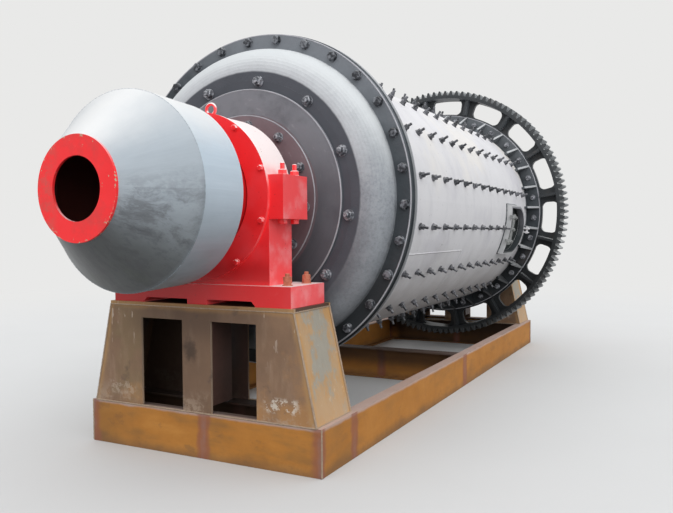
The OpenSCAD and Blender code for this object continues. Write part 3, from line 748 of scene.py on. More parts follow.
def mill_scale():
    f = Finish("mill_scale")
    grain = f.noise(1.0, 5.0, 0.6, f.stretch(16.0, 16.0, 5.0))
    cloud = f.noise(3.4, 6.0, 0.62)
    f.colour = f.mix(cloud, (108, 86, 70), (158, 126, 100))
    f.lay(f.rise(grain, 0.48, 0.75) * 0.4, (166, 140, 118))
    olive = f.rise(f.noise(1.6, 5.0, 0.65), 0.50, 0.62)
    f.lay(olive * 0.45, (124, 108, 78))
    # The strip under the top plate is painted darker, as shade from above.
    lintel = f.rise(f.z + (cloud - 0.5) * 0.1, plate_top - 0.26, plate_top - 0.12)
    f.lay(lintel * f.rise(abs(f.x), 0.62, 0.36) * 0.55, (92, 74, 62))
    # The middle post is painted darker, as shade.
    post = f.rise(abs(f.x), 0.22, 0.14)
    f.lay(post * 0.45, (90, 72, 60))
    rust = f.rise(f.noise(2.1, 5.0, 0.65) + (beam_top + 0.14 - f.z) * 0.35, 0.52, 0.70)
    f.lay(rust * 0.55, (188, 138, 84))
    edge_rust = f.rise(f.z + (cloud - 0.5) * 0.06, plate_top - 0.055, plate_top - 0.012)
    f.lay(edge_rust * 0.6, (172, 132, 84))
    half_width = (f.z - beam_top) * wall_slope + wall_foot
    border = f.rise(abs(f.x) - half_width + (grain - 0.5) * 0.05, -0.050, -0.012)
    f.lay(border * 0.6, (180, 142, 96))
    upper = f.rise(f.z, beam_top + 0.24, plate_top - 0.05) * f.rise(abs(f.x), 0.40, 0.48)
    scratch = f.rise(f.noise(1.0, 3.0, 0.5, f.stretch(34.0, 34.0, 8.0)), 0.63, 0.67) * upper
    f.lay(scratch * 0.5, (208, 194, 180))
    pale_foot = f.rise(f.noise(9.0, 5.0, 0.7), 0.46, 0.60) * f.rise(f.z, beam_top + 0.17, beam_top + 0.02)
    f.lay(pale_foot * 0.5, (178, 158, 138))
    smear_reach = ((f.x + 0.05) ** 2.0 * 2.2 + (f.z - beam_top - 0.38) ** 2.0) ** 0.5
    smear = f.rise(smear_reach + (f.noise(20.0, 4.0) - 0.5) * 0.12, 0.10, 0.03)
    f.lay(smear * 0.65, (46, 38, 36))
    cut = f.rise(abs(f.normal_x), 0.7, 0.9) * f.rise(abs(f.y), outer_wall_y, outer_wall_y + 0.001)
    f.lay(cut * 0.5, (178, 160, 142))
    dark = f.rise(f.noise(6.0, 4.0, 0.6), 0.62, 0.72)
    f.lay(dark * 0.5, (84, 72, 68))
    scuffed = f.rise(abs(f.z - beam_top - 0.105), 0.055, 0.025) * f.rise(abs(abs(f.x) - 0.61), 0.14, 0.08)
    chalk = f.rise(f.noise(22.0, 5.0, 0.7), 0.50, 0.56) * scuffed * (f.rise(f.x, -0.1, 0.1) * 0.7 + 0.3)
    f.lay(chalk * 0.75, (214, 204, 190))
    # Inside the box the plate is painted dark as shade, reddish towards +X.
    away = abs(f.y)
    inside = f.rise(away, inner_wall_y - 0.004, inner_wall_y - 0.001)
    inside *= f.rise(away, outer_wall_y, outer_wall_y - 0.004)
    reddish = f.mix(f.rise(f.x, -0.1, 0.1), (42, 32, 28), (84, 56, 52))
    f.lay(inside * 0.9, f.mix(cloud, (30, 22, 20), reddish))
    relief = f.bump(cloud + f.noise(70.0, 4.0, 0.6) * 0.5, 0.003, 0.4)
    return f.finish(0.5 + rust * 0.25, metallic=0.1, normal=relief)


scale_plate = mill_scale()
print("finish:", scale_plate.name)

# %% [markdown]
# The leaning flanks of the pedestals show more of the blue-grey scale in their middle, with tan and ochre
# rust round it. The walls' finish with other colours could do, but its masks are measured from the walls'
# edges, so the flanks have one of their own.

# %% Flank scale
def flank_scale():
    f = Finish("flank_scale")
    runs = f.noise(1.0, 5.0, 0.65, f.stretch(20.0, 20.0, 9.0))
    patch = f.noise(1.0, 5.0, 0.7, f.stretch(5.5, 5.5, 4.0))
    f.colour = f.mix(runs, (170, 136, 98), (188, 158, 122))
    off_middle = abs(abs(f.y) - (outer_wall_y + inner_wall_y) / 2)
    middle = f.rise(off_middle, 0.19, 0.10) * f.rise(f.z, beam_top + 0.12, beam_top + 0.34)
    blue = f.rise(patch * 0.7 + runs * 0.3 + middle * 0.10, 0.52, 0.60)
    f.lay(blue * 0.8, f.mix(runs, (136, 139, 134), (160, 160, 150)))
    ochre = f.rise(f.noise(1.0, 5.0, 0.65, f.stretch(11.0, 11.0, 6.0)), 0.52, 0.62)
    f.lay(ochre * 0.5, (186, 138, 78))
    border = f.rise(off_middle + (runs - 0.5) * 0.05, 0.165, 0.205)
    f.lay(border * 0.7, (190, 140, 78))
    low_rust = f.rise(f.z + (patch - 0.5) * 0.3, beam_top + 0.24, beam_top + 0.05)
    f.lay(low_rust * 0.45, (192, 158, 122))
    pale = f.rise(f.noise(24.0, 5.0, 0.7), 0.60, 0.68)
    f.lay(pale * 0.3, (206, 194, 176))
    # Faces that look in towards the middle of the pedestal are painted dark, as shade.
    f.lay(f.rise(f.normal_x * f.x, 0.0, -0.1) * 0.9, (46, 34, 30))
    relief = f.bump(patch + f.noise(60.0, 4.0) * 0.5, 0.003, 0.35)
    return f.finish(0.55, metallic=0.05, normal=relief)


flank_plate = flank_scale()
print("finish:", flank_plate.name)

# %% [markdown]
# ## Rust on the frame
# The channels of the frame have rusted to orange. Where a stiffener or a corner is welded on from behind,
# the heat has left a purple-brown stripe with a grey core. The stripes could be painted by hand. A short
# list of places, widths and directions does the same and stays exact. The beams under the drum lie in its
# shade, which is painted in as near black: the same finish with one amount turned up. Where the beams run
# inside a pedestal, they are painted dark as shade too.

# %% Beam rust
heat_marks = [
    (0.045, 0.06, "x"), (frame_side, 0.075, "x"), (-frame_side, 0.075, "x"),
    (stand_end["feed"] + 0.42, 0.06, "y"), (stand_end["feed"] + 2.70, 0.08, "y"),
    (stand_end["feed"], 0.06, "y"), (stand_end["discharge"], 0.06, "y"),
]


def rusty_beam(name, dark):
    f = Finish(name)
    cloud = f.noise(3.0, 6.0, 0.65)
    f.colour = f.mix(cloud, (160, 102, 38), (196, 136, 68))
    runs = f.noise(1.0, 4.0, 0.6, f.stretch(9.0, 9.0, 3.0))
    f.lay(f.rise(runs, 0.50, 0.72) * 0.22, (156, 104, 54))
    band = f.noise(1.0, 4.0, 0.55, f.stretch(2.2, 2.2, 7.5))
    front = f.rise(abs(f.normal_y), 0.4, 0.6) * 0.5 + 0.5
    f.lay(f.rise(band, 0.48, 0.70) * front * 0.7, (132, 98, 60))
    f.lay(f.rise(band, 0.50, 0.30) * front * 0.4, (206, 146, 74))
    stain = f.rise(f.noise(1.0, 6.0, 0.7, f.stretch(4.0, 4.0, 7.0)), 0.56, 0.66) * front
    f.lay(stain * 0.4, (112, 84, 62))
    left = f.rise(f.x, -0.35, -0.95) * f.rise(f.y, -1.5, -2.5)
    f.lay(left * 0.55, (128, 96, 58))
    dirt = f.rise(f.z + (cloud - 0.5) * 0.12, 0.08, 0.0)
    f.lay(dirt * 0.6, (104, 84, 64))
    crest = f.rise(f.z + (runs - 0.5) * 0.02, beam_top - 0.024, beam_top - 0.006)
    f.lay(crest * (0.5 + cloud * 0.6), (184, 164, 158))
    # Inside the pedestal's box the beam is painted dark, as shade.
    boxed = f.rise(abs(f.y), outer_wall_y, outer_wall_y - 0.03)
    boxed *= f.rise(abs(f.y), inner_wall_y - 0.03, inner_wall_y)
    f.lay(boxed * f.rise(abs(f.x), 0.80, 0.70) * 0.75, (52, 42, 36))
    wobble = (f.noise(9.0, 3.0) - 0.5) * 0.07
    end_face, side_face = f.rise(abs(f.normal_y), 0.4, 0.6), f.rise(abs(f.normal_x), 0.4, 0.6)
    for centre, width, axis in heat_marks:
        place, face = (f.x, end_face) if axis == "x" else (f.y, side_face)
        tint = f.rise(abs(place + wobble - centre), width, width * 0.4) * face
        f.lay(tint * 0.7, (142, 88, 72))
        core = f.rise(abs(place + wobble * 0.5 - centre), width * 0.45, width * 0.15) * face
        f.lay(core * f.rise(cloud, 0.4, 0.6) * 0.35, (138, 122, 124))
    shaded = f.rise(f.z + (cloud - 0.5) * 0.1, 0.02, beam_top - 0.08) * dark
    f.lay(shaded, (44, 32, 26))
    relief = f.bump(cloud + f.noise(80.0, 5.0, 0.65) * 0.7, 0.003, 0.45)
    return f.finish(0.7, normal=relief)


beam_rust = rusty_beam("rusty_beam", dark=0.0)
shaded_rust = rusty_beam("shaded_beam", dark=0.85)
print("heat marks on the frame:", len(heat_marks))

# %% [markdown]
# ## Fasteners and welds
# The drum's bolts are steel, dulled by paint and dust. The anchor bolts have rusted brown, and the weld
# beads have tarnished to a pale brown. Each could have a finish as rich as that of the plates, but at their
# size it would not show. Two shades and a noise or two are enough, and two functions serve all of them.

# %% Small finishes
def steel_bolt(name, dark, light, metallic):
    f = Finish(name)
    wear = f.noise(38.0, 4.0, 0.6)
    by_bolt = f.noise(2.6, 1.0)
    f.colour = f.mix(f.rise(wear + (by_bolt - 0.5) * 0.25, 0.40, 0.62), dark, light)
    # Faces that look up are paler, partly dust and partly painted light from the sky.
    f.lay(f.rise(f.up + wear * 0.4, 0.5, 1.2) * 0.5, (186, 186, 186))
    return f.finish(0.34 + wear * 0.2, metallic=metallic, normal=f.bump(wear, 0.002, 0.4), gloss=0.5)


def plain_finish(name, first, second, roughness, metallic, scale=30.0, top=None):
    f = Finish(name)
    wear = f.noise(scale, 5.0, 0.62)
    f.colour = f.mix(wear, first, second)
    if top:
        f.lay(f.rise(f.up, 0.5, 1.0) * 0.45, top)
    return f.finish(roughness + wear * 0.1, metallic=metallic, normal=f.bump(wear, 0.002, 0.4))


black_bolt = steel_bolt("black_bolt", (52, 54, 58), (112, 113, 118), 0.3)
head_bolt = steel_bolt("head_bolt", (84, 86, 92), (168, 170, 176), 0.5)
flange_bolt = steel_bolt("flange_bolt", (46, 48, 53), (122, 125, 131), 0.4)
rusty_bolt = plain_finish("bolt_rust", (150, 72, 56), (206, 132, 104), 0.66, 0.1, 44.0, (206, 176, 150))
weld_metal = plain_finish("weld_steel", (128, 106, 88), (190, 170, 148), 0.5, 0.25)
# The pale rings on turned edges are a painted highlight.
bright_edge = plain_finish("pale_edge_highlight", (132, 133, 139), (192, 192, 197), 0.38, 0.3, 9.0)
bronze = plain_finish("bearing_bronze", (168, 138, 84), (196, 164, 104), 0.34, 0.9)
# The manhole's cover is painted dark, as the shade of its deep recess.
cover_shade = plain_finish("manhole_cover_shade", (34, 37, 38), (74, 78, 76), 0.6, 0.1, 9.0)
clamp_grey = plain_finish("manhole_clamp_paint", (48, 52, 53), (196, 198, 196), 0.5, 0.1, 34.0)
print("small finishes:", black_bolt.name, head_bolt.name, rusty_bolt.name, weld_metal.name)

# %% [markdown]
# ## The manhole's frame
# The frame is grey like the shell, but its hollow side is dark, and the dark runs over its rim. On its upper
# side and out towards the rim the hollow is lifted by painted light. The faces could be picked one by one,
# and the choice would be lost when the solid changes. The mask is the distance in from the outline instead.
# The outline is straight at first and half round past a certain place, so the distance uses the plain height
# there and the round distance beyond it.

# %% The manhole's frame
manhole_degrees, manhole_height = -11.4, 0.500


def hollow_frame():
    f = Finish("manhole_frame_paint")
    mottle = f.noise(8.0, 5.0, 0.6)
    f.colour = f.mix(mottle, (164, 165, 167), (206, 206, 206))
    turn = math.radians(manhole_degrees)
    across = f.z * math.cos(turn) - f.x * math.sin(turn) - axis_z * math.cos(turn)
    beyond = f.y - (high("manhole_frame").y - manhole_height / 2)
    beyond = beyond.most(0.0)
    inwards = manhole_height / 2 - (beyond * beyond + across * across) ** 0.5
    inwards = inwards.least(f.y - low("manhole_frame").y)
    radius = off_axis(f)
    hollow = f.rise(inwards, 0.010, 0.014)
    f.lay(hollow, f.mix(mottle, (34, 38, 40), (58, 64, 66)))
    lit = hollow * f.rise(across + (mottle - 0.5) * 0.2, -0.06, 0.14)
    lit *= f.rise(radius, shell_radius - 0.02, shell_radius + 0.03)
    f.lay(lit * 0.8, (138, 138, 144))
    return f.finish(0.55, normal=f.bump(mottle, 0.003, 0.3))


frame_paint = hollow_frame()
print("finish:", frame_paint.name)

# %% [markdown]
# ## Dressing the solids
# Each solid keeps its shape and gets the finish of the real piece. The slots named in the record say which
# pieces share a finish, so the table goes from slot to finish, with a few pieces named one by one.

# %% Finishes on the solids
slot_finish = {
    "rusty_beam": beam_rust, "mill_scale_plate": scale_plate, "flank_plate": flank_plate,
    "red_paint": red, "bearing_metal": bronze, "shell_paint": shell_paint, "head_paint": head_paint,
    "bare_casting": casting, "black_paint": black, "feeder_paint": feeder_paint,
}
special_finish = {
    "ring_gear": gear_black, "gear_spokes": gear_black, "gussets": gusset_black,
    "feeder_mouth_ring": mouth_red, "manhole_frame": frame_paint, "manhole_cover": cover_shade,
    "cross_beams": shaded_rust,
}


def dress(node, finish):
    mesh = frame["nodes"][node].data
    mesh.materials.clear()
    mesh.materials.append(finish)


for entry in frame["record"]["subparts"]:
    node = entry["node"]
    dress(node, special_finish.get(node, slot_finish[entry["material_slot"]]))

# %% [markdown]
# ## A maker of many small solids
# Hundreds of bolts as single objects would be slow. This maker turns a profile about an axis, with six
# sides for a nut or twenty for a washer, at any place, and collects all of them in one mesh. It can also
# set down a block with chamfered edges.

# %% The maker
washer_share = 0.16
washer_sides, nut_sides, stud_sides = 20, 6, 12


class Maker:
    def __init__(self, name):
        self.name, self.points, self.faces = name, [], []

    def tube(self, rings, closed):
        """Joins rings of equally many points. An open tube gets a flat face at each end."""
        start, count, sides = len(self.points), len(rings), len(rings[0])
        for ring in rings:
            self.points.extend(ring)
        for i in range(count if closed else count - 1):
            here, ahead = start + i * sides, start + (i + 1) % count * sides
            for k in range(sides):
                after = (k + 1) % sides
                self.faces.append((here + k, here + after, ahead + after, ahead + k))
        if not closed:
            last = start + (count - 1) * sides
            self.faces.append(tuple(start + k for k in reversed(range(sides))))
            self.faces.append(tuple(last + k for k in range(sides)))

    def turned(self, place, profile, sides, phase=0.0):
        """Turns (radius, height) points about the local Z axis."""
        turns = [phase + 2 * math.pi * i / sides for i in range(sides)]
        rings = [[place @ Vector((r * math.cos(a), r * math.sin(a), h)) for a in turns] for r, h in profile]
        self.tube(rings, False)

    def nut_and_stud(self, place, across, washer_radius, stud_radius, stud_out, head_height):
        """A washer, a hexagon without its sharp top corners, and a stud if any of it stands out."""
        washer_height = washer_radius * washer_share
        washer_top = washer_radius * 0.96
        washer = [(washer_radius, 0), (washer_radius, washer_height * 0.8), (washer_top, washer_height)]
        self.turned(place, washer, washer_sides)
        corner = across / math.sqrt(3)
        top = washer_height + head_height
        nut = [(corner, washer_height), (corner, top - head_height * 0.12), (corner * 0.87, top)]
        self.turned(place, nut, nut_sides)
        if stud_out > 0:
            tip = top + stud_out
            stud = [(stud_radius, top), (stud_radius, tip - stud_radius * 0.25), (stud_radius * 0.8, tip)]
            self.turned(place, stud, stud_sides)

    def block(self, place, length, width, height, chamfer):
        """A block on the local XY plane, with its upper edges chamfered."""
        def ring(inset, h):
            x, y = length / 2 - inset, width / 2 - inset
            return [place @ Vector(p) for p in ((-x, -y, h), (x, -y, h), (x, y, h), (-x, y, h))]
        self.tube([ring(0, 0), ring(0, height - chamfer), ring(chamfer, height)], False)

    def build(self, body, finish, smooth_below=35.0):
        mesh = bpy.data.meshes.new(self.name)
        mesh.from_pydata(self.points, [], self.faces)
        shape = bmesh.new()
        shape.from_mesh(mesh)
        bmesh.ops.recalc_face_normals(shape, faces=shape.faces)
        shape.to_mesh(mesh)
        shape.free()
        mesh.shade_smooth()
        mesh.set_sharp_from_angle(angle=math.radians(smooth_below))
        mesh.materials.append(finish)
        piece = bpy.data.objects.new(self.name, mesh)
        bpy.context.collection.objects.link(piece)
        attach(piece, body)
        print(self.name, len(mesh.polygons), "faces")
        return piece


print("the maker can:", [name for name in vars(Maker) if not name.startswith("_")])

# %% [markdown]
# A bolt needs a place that looks the right way. Short helpers give it: a place whose Z axis looks along any
# direction, the same place shifted in its own directions, the direction straight out of the drum at an
# angle, and the point there. With them a loop needs no trigonometry of its own.

# %% Places on the drum
def standing(point, direction, spin=0.0):
    """A place at a point whose local Z looks along a direction."""
    turn = Vector(direction).to_track_quat("Z", "X").to_matrix().to_4x4()
    return Matrix.Translation(point) @ turn @ Matrix.Rotation(spin, 4, "Z")


def shifted(place, x=0.0, y=0.0, z=0.0):
    return place @ Matrix.Translation((x, y, z))


def out_of_drum(degrees):
    a = math.radians(degrees)
    return Vector((math.cos(a), 0.0, math.sin(a)))


def round_drum(radius, degrees, y):
    return out_of_drum(degrees) * radius + Vector((0.0, y, axis_z))


print("top of the shell:", [round(v, 3) for v in round_drum(shell_radius, 90.0, 0.0)])

# %% [markdown]
# ## Bolts of the drum
# Liner bolts hold the wear plates inside the shell and stand on it in eighteen rows of fourteen. Each is a
# thick washer, a nut and the stud's end. They are all alike on the drawing, but cut studs differ in length
# and nuts stop at any angle, so both are drawn by a seeded chance. The rows leave out the places that the
# manhole takes.

# %% Liner bolts
row_count, row_first_angle = 18, -10.5
row_bolts = 14
first_bolt_y = low("feed_shell_flange").y + 0.213
bolt_step = 0.2604
clear_before, clear_behind = 0.04, 0.10
liner_boss, boss_sides = [(0.027, 0), (0.027, 0.008), (0.021, 0.012)], 14
liner_nut = dict(across=0.037, washer_radius=0.022, stud_radius=0.0100, head_height=0.022)
liner_sunk, liner_nut_up = 0.002, 0.010
stud_shortest, stud_longest = 0.028, 0.042


def liner_bolts():
    maker = Maker("liner_bolts")
    hole_start = low("manhole_frame").y - clear_before
    hole_end = high("manhole_frame").y + clear_behind
    chance = random.Random(4)
    for row in range(row_count):
        degrees = row_first_angle + row * 360.0 / row_count
        for i in range(row_bolts):
            y = first_bolt_y + i * bolt_step
            if row == 0 and hole_start < y < hole_end:
                continue
            point = round_drum(shell_radius - liner_sunk, degrees, y)
            place = standing(point, out_of_drum(degrees), chance.uniform(0, 1))
            maker.turned(place, liner_boss, boss_sides)
            stud_out = chance.uniform(stud_shortest, stud_longest)
            maker.nut_and_stud(shifted(place, z=liner_nut_up), stud_out=stud_out, **liner_nut)
    return maker.build("drum", black_bolt)


liner_bolts()

# %% [markdown]
# Thirty bolts hold each head's flange, twelve big ones the ring inside the shoulder and twelve the
# trunnion's flange. Thirty more sit between the gussets behind the gear. They could be copies by an array,
# but a loop over the angle lets each nut stop at another turn, as real ones do.

# %% Head bolts and gusset bolts
flange_bolt_count, flange_bolt_radius, flange_first = 30, 1.100, 9.27
ring_bolt_count, ring_bolt_radius, ring_first = 12, 0.792, 21.46
hub_bolt_count, hub_bolt_radius, hub_first = 12, 0.494, 23.1
gusset_bolt_radius, gusset_first = 1.085, 8.25
head_flange_thick = 0.045
hub_flange_thick = 0.024
turn_step = 0.37
flange_nut = dict(across=0.052, washer_radius=0.033, stud_radius=0.014, stud_out=0.0, head_height=0.026)
ring_nut = dict(across=0.056, washer_radius=0.037, stud_radius=0.017, stud_out=0.022, head_height=0.026)
hub_nut = dict(across=0.050, washer_radius=0.034, stud_radius=0.015, stud_out=0.020, head_height=0.024)
gusset_nut = dict(across=0.050, washer_radius=0.031, stud_radius=0.014, stud_out=0.026, head_height=0.024)


def bolt_circle(maker, count, radius, first_degrees, y, way, sizes):
    side = Vector((0.0, way, 0.0))
    for i in range(count):
        point = round_drum(radius, first_degrees + i * 360.0 / count, y)
        maker.nut_and_stud(standing(point, side, turn_step * i), **sizes)


def head_bolts(end):
    maker = Maker(end + "_flange_bolts")
    way = outward[end]
    flange_y = inner_y(end, "_head") + way * head_flange_thick
    bolt_circle(maker, flange_bolt_count, flange_bolt_radius, flange_first, flange_y, way, flange_nut)
    maker.build("drum", flange_bolt)
    maker = Maker(end + "_ring_bolts")
    bolt_circle(maker, ring_bolt_count, ring_bolt_radius, ring_first, outer_y(end, "_head"), way, ring_nut)
    hub_y = inner_y(end, "_trunnion_flange") + way * hub_flange_thick
    bolt_circle(maker, hub_bolt_count, hub_bolt_radius, hub_first, hub_y, way, hub_nut)
    return maker.build("drum", head_bolt)


def gusset_bolts():
    maker = Maker("gusset_bolts")
    flange_y = low("discharge_shell_flange").y
    bolt_circle(maker, flange_bolt_count, gusset_bolt_radius, gusset_first, flange_y, -1.0, gusset_nut)
    return maker.build("drum", head_bolt)


for end in outward:
    head_bolts(end)
gusset_bolts()

# %% [markdown]
# Weld beads and worn edges are long and thin and follow a path. A curve with a round bevel could draw them,
# but the small parts would then be of two kinds, curves and meshes. A second maker, built on the first,
# joins rings of points along a path, so that many beads are again one mesh.

# %% The maker of tubes
class TubeMaker(Maker):
    def bead(self, points, radius, seed, closed=False, ripple=0.22):
        """A weld bead: a thin tube along the points whose thickness ripples as a welder's does."""
        chance = random.Random(seed)
        sides, count, rings = 6, len(points), []
        for i, point in enumerate(points):
            ahead = points[(i + 1) % count] if closed or i + 1 < count else point
            behind = points[i - 1] if closed or i > 0 else point
            run = (ahead - behind).normalized()
            side = run.orthogonal().normalized()
            other = run.cross(side)
            r = radius * (1.0 - ripple * 0.6 + ripple * (i % 2) + chance.uniform(-0.45, 0.45) * ripple)
            turns = [2 * math.pi * k / sides for k in range(sides)]
            rings.append([point + side * (r * math.cos(a)) + other * (r * math.sin(a)) for a in turns])
        self.tube(rings, closed)

    def drum_ring(self, radius, y, thick, steps=160):
        """A thin round ring about the drum's axis."""
        turns = [2 * math.pi * k / 8 for k in range(8)]
        along, rings = Vector((0.0, 1.0, 0.0)), []
        for i in range(steps):
            degrees = 360.0 * i / steps
            out, middle = out_of_drum(degrees), round_drum(radius, degrees, y)
            rings.append([middle + (out * math.cos(a) + along * math.sin(a)) * thick for a in turns])
        self.tube(rings, True)


print("the maker of tubes adds:", [name for name in vars(TubeMaker) if not name.startswith("_")])

# %% [markdown]
# The turned plates and flanges have a rounded edge, where the lathe took the corner off, and it shows as a
# bright line. A pale line in the finish could stand for it, but it would not catch the light. A thin pale
# ring on each corner paints that highlight in as geometry, so it shows from every side.

# %% Bright edges
edge_sunk, plate_edge_sunk = 0.003, 0.005
hub_edge_thick, plate_edge_thick, flange_edge_thick = 0.0045, 0.0055, 0.005


def bright_edges(end):
    maker = TubeMaker(end + "_bright_edges")
    way = outward[end]
    plate_y = outer_y(end, "_head_plate")
    flange_y = inner_y(end, "_head") + way * head_flange_thick
    hub_y = plate_y + way * (hub_flange_thick - edge_sunk)
    shell_flange_y = inner_y(end, "_shell_flange") + way * edge_sunk
    maker.drum_ring(radius_of(end + "_trunnion_flange") - edge_sunk, hub_y, hub_edge_thick)
    maker.drum_ring(plate_edge - plate_edge_sunk, plate_y - way * edge_sunk, plate_edge_thick)
    maker.drum_ring(radius_of(end + "_head") - edge_sunk, flange_y - way * edge_sunk, flange_edge_thick)
    maker.drum_ring(radius_of(end + "_shell_flange") - edge_sunk, shell_flange_y, flange_edge_thick)
    return maker.build("drum", bright_edge)


for end in outward:
    bright_edges(end)

# %% [markdown]
# ## Seams of the drum
# The shell is rolled from plates, and two of its seams show as low beads: one along the drum and one round
# it. The feeder's cone is welded to its barrel. A bead is a thin tube whose thickness ripples along its
# run, because a smooth tube reads as a wire.

# %% Seams
seam_degrees, seam_end_degrees = -22, -150
seam_turn_y = -0.365
seam_sunk = 0.0022
bead_step = 0.012
bead_smooth = 60.0


def arc(radius, first_degrees, last_degrees, y):
    turn = last_degrees - first_degrees
    count = max(2, int(abs(turn) * math.pi / 180 * radius / bead_step))
    return [round_drum(radius, first_degrees + turn * i / count, y) for i in range(count + 1)]


def between(a, b):
    count = max(2, int((b - a).length / bead_step))
    return [a.lerp(b, i / count) for i in range(count + 1)]


def drum_seams():
    maker = TubeMaker("shell_seams")
    start = round_drum(shell_radius, seam_degrees, high("feed_shell_flange").y)
    corner = round_drum(shell_radius, seam_degrees, seam_turn_y)
    maker.bead(between(start, corner), radius=0.0050, seed=11)
    maker.bead(arc(shell_radius, seam_degrees, seam_end_degrees, seam_turn_y), radius=0.0030, seed=12)
    maker.build("drum", shell_paint, bead_smooth)
    maker = TubeMaker("feeder_seam")
    round_feeder = arc(feeder_wall_radius - seam_sunk, 0, 360, feeder_seam)[:-1]
    maker.bead(round_feeder, radius=0.003, seed=13, closed=True, ripple=0.3)
    return maker.build("drum", feeder_paint, bead_smooth)


drum_seams()

# %% [markdown]
# ## The manhole
# A dark weld runs round the foot of the manhole's frame, where the upright wall meets the curved shell. Its
# path follows the outline of the frame and is set down on the round of the shell point by point, because a
# flat outline would float over the shell at its upper and lower ends. Places are given outward, round the
# drum and along it.

# %% The weld round the manhole
def manhole_point(out_by, round_by, y):
    way_out, way_round = out_of_drum(manhole_degrees), out_of_drum(manhole_degrees + 90.0)
    return way_out * out_by + way_round * round_by + Vector((0.0, y, axis_z))


def on_shell(round_by, y):
    return manhole_point((shell_radius * shell_radius - round_by * round_by) ** 0.5, round_by, y)


def foot_of_frame():
    half = manhole_height / 2
    y_near, y_round = low("manhole_frame").y, high("manhole_frame").y - half
    steps = [i / 24 for i in range(24)]
    path = [on_shell(half - 2 * half * t, y_near) for t in steps]
    path += [on_shell(-half, y_near + (y_round - y_near) * t) for t in steps]
    path += [on_shell(-half * math.cos(math.pi * t), y_round + half * math.sin(math.pi * t)) for t in steps]
    path += [on_shell(half, y_round + (y_near - y_round) * t) for t in steps]
    return path


def manhole_weld():
    maker = TubeMaker("manhole_weld")
    maker.bead(foot_of_frame(), radius=0.011, seed=14, closed=True)
    return maker.build("drum", black, bead_smooth)


print("points of the weld:", len(foot_of_frame()))

# %% [markdown]
# The cover lies inside the shell. A clamp bar crosses it deep in the frame with three nuts on it, and two
# hooks reach over the near wall to it. A lug with a pin stands beyond the far wall. They are cut from flat
# bar, so plain blocks with a chamfer are true to them. All are placed in the manhole's own directions.

# %% Manhole fittings
bar_out_by, hook_out_by, lug_out_by = shell_radius - 0.014, shell_radius + 0.053, shell_radius - 0.002
bar_round_by, lug_round_by = -0.002, 0.004
hook_in, lug_beyond = 0.036, 0.040
nuts_at, hooks_at, cheeks_at = (-0.125, 0.0, 0.125), (0.137, -0.107), (-0.020, 0.020)
tip_shift, heel_shift = (0, 0.052, -0.022), (0, -0.041, -0.070)
bar_size = dict(length=0.320, width=0.070, height=0.026, chamfer=0.005)
nut_seat = dict(length=0.034, width=0.050, height=0.014, chamfer=0.001)
hook_size = dict(length=0.030, width=0.096, height=0.016, chamfer=0.004)
hook_tip = dict(length=0.030, width=0.012, height=0.038, chamfer=0.003)
hook_heel = dict(length=0.030, width=0.014, height=0.072, chamfer=0.002)
lug_cheek = dict(length=0.014, width=0.060, height=0.112, chamfer=0.006)
pin_radius, pin_length, pin_up = 0.013, 0.072, 0.086
bar_nut = dict(across=0.034, washer_radius=0.022, stud_radius=0.009, stud_out=0.008, head_height=0.016)


def fitted(out_by, round_by, y):
    """A place whose X runs round the drum, whose Y runs back along it and whose Z looks outward."""
    way_out, way_round = out_of_drum(manhole_degrees), out_of_drum(manhole_degrees + 90.0)
    turn = Matrix((way_round, Vector((0, -1, 0)), way_out)).transposed().to_4x4()
    return Matrix.Translation(manhole_point(out_by, round_by, y)) @ turn


def manhole_clamps():
    maker = Maker("manhole_clamps")
    frame_start, frame_end = low("manhole_frame").y, high("manhole_frame").y
    bar = fitted(bar_out_by, bar_round_by, (frame_start + frame_end) / 2)
    maker.block(bar, **bar_size)
    for at in nuts_at:
        maker.nut_and_stud(shifted(bar, at, z=bar_size["height"]), **bar_nut)
        maker.block(shifted(bar, at, z=-nut_seat["height"]), **nut_seat)
    for at in hooks_at:
        hook = fitted(hook_out_by, at, frame_start + hook_in)
        maker.block(hook, **hook_size)
        maker.block(shifted(hook, *tip_shift), **hook_tip)
        maker.block(shifted(hook, *heel_shift), **hook_heel)
    return maker.build("drum", clamp_grey)


def manhole_lug():
    maker = Maker("manhole_lug")
    lug = fitted(lug_out_by, lug_round_by, high("manhole_frame").y + lug_beyond)
    for at in cheeks_at:
        maker.block(shifted(lug, at), **lug_cheek)
    pin = shifted(lug, -pin_length / 2, z=pin_up) @ Matrix.Rotation(math.pi / 2, 4, "Y")
    maker.turned(pin, [(pin_radius, 0), (pin_radius, pin_length)], stud_sides)
    return maker.build("drum", shell_paint)


manhole_clamps()
manhole_weld()
manhole_lug()

# %% [markdown]
# ## Bolts of the bearings
# The cover ring is held by ten small red bolts. Two studs with nuts clamp each pair of lugs, and their
# heads show under the lugs. Each is placed from the box of the casting that carries it, so that one
# function serves both ends of the mill.

# %% Bearing bolts
cover_bolt_count, cover_bolt_radius, cover_first = 10, 0.4926, 18.0
lug_up, lug_down = 0.116, 0.144
lug_depth = 0.280
lug_stud_in = 0.046
cover_nut = dict(across=0.030, washer_radius=0.021, stud_radius=0.008, stud_out=0.0, head_height=0.018)
lug_nut = dict(across=0.046, washer_radius=0.030, stud_radius=0.014, stud_out=0.040, head_height=0.028)
lug_head = dict(across=0.046, washer_radius=0.028, stud_radius=0.014, stud_out=0.0, head_height=0.024)


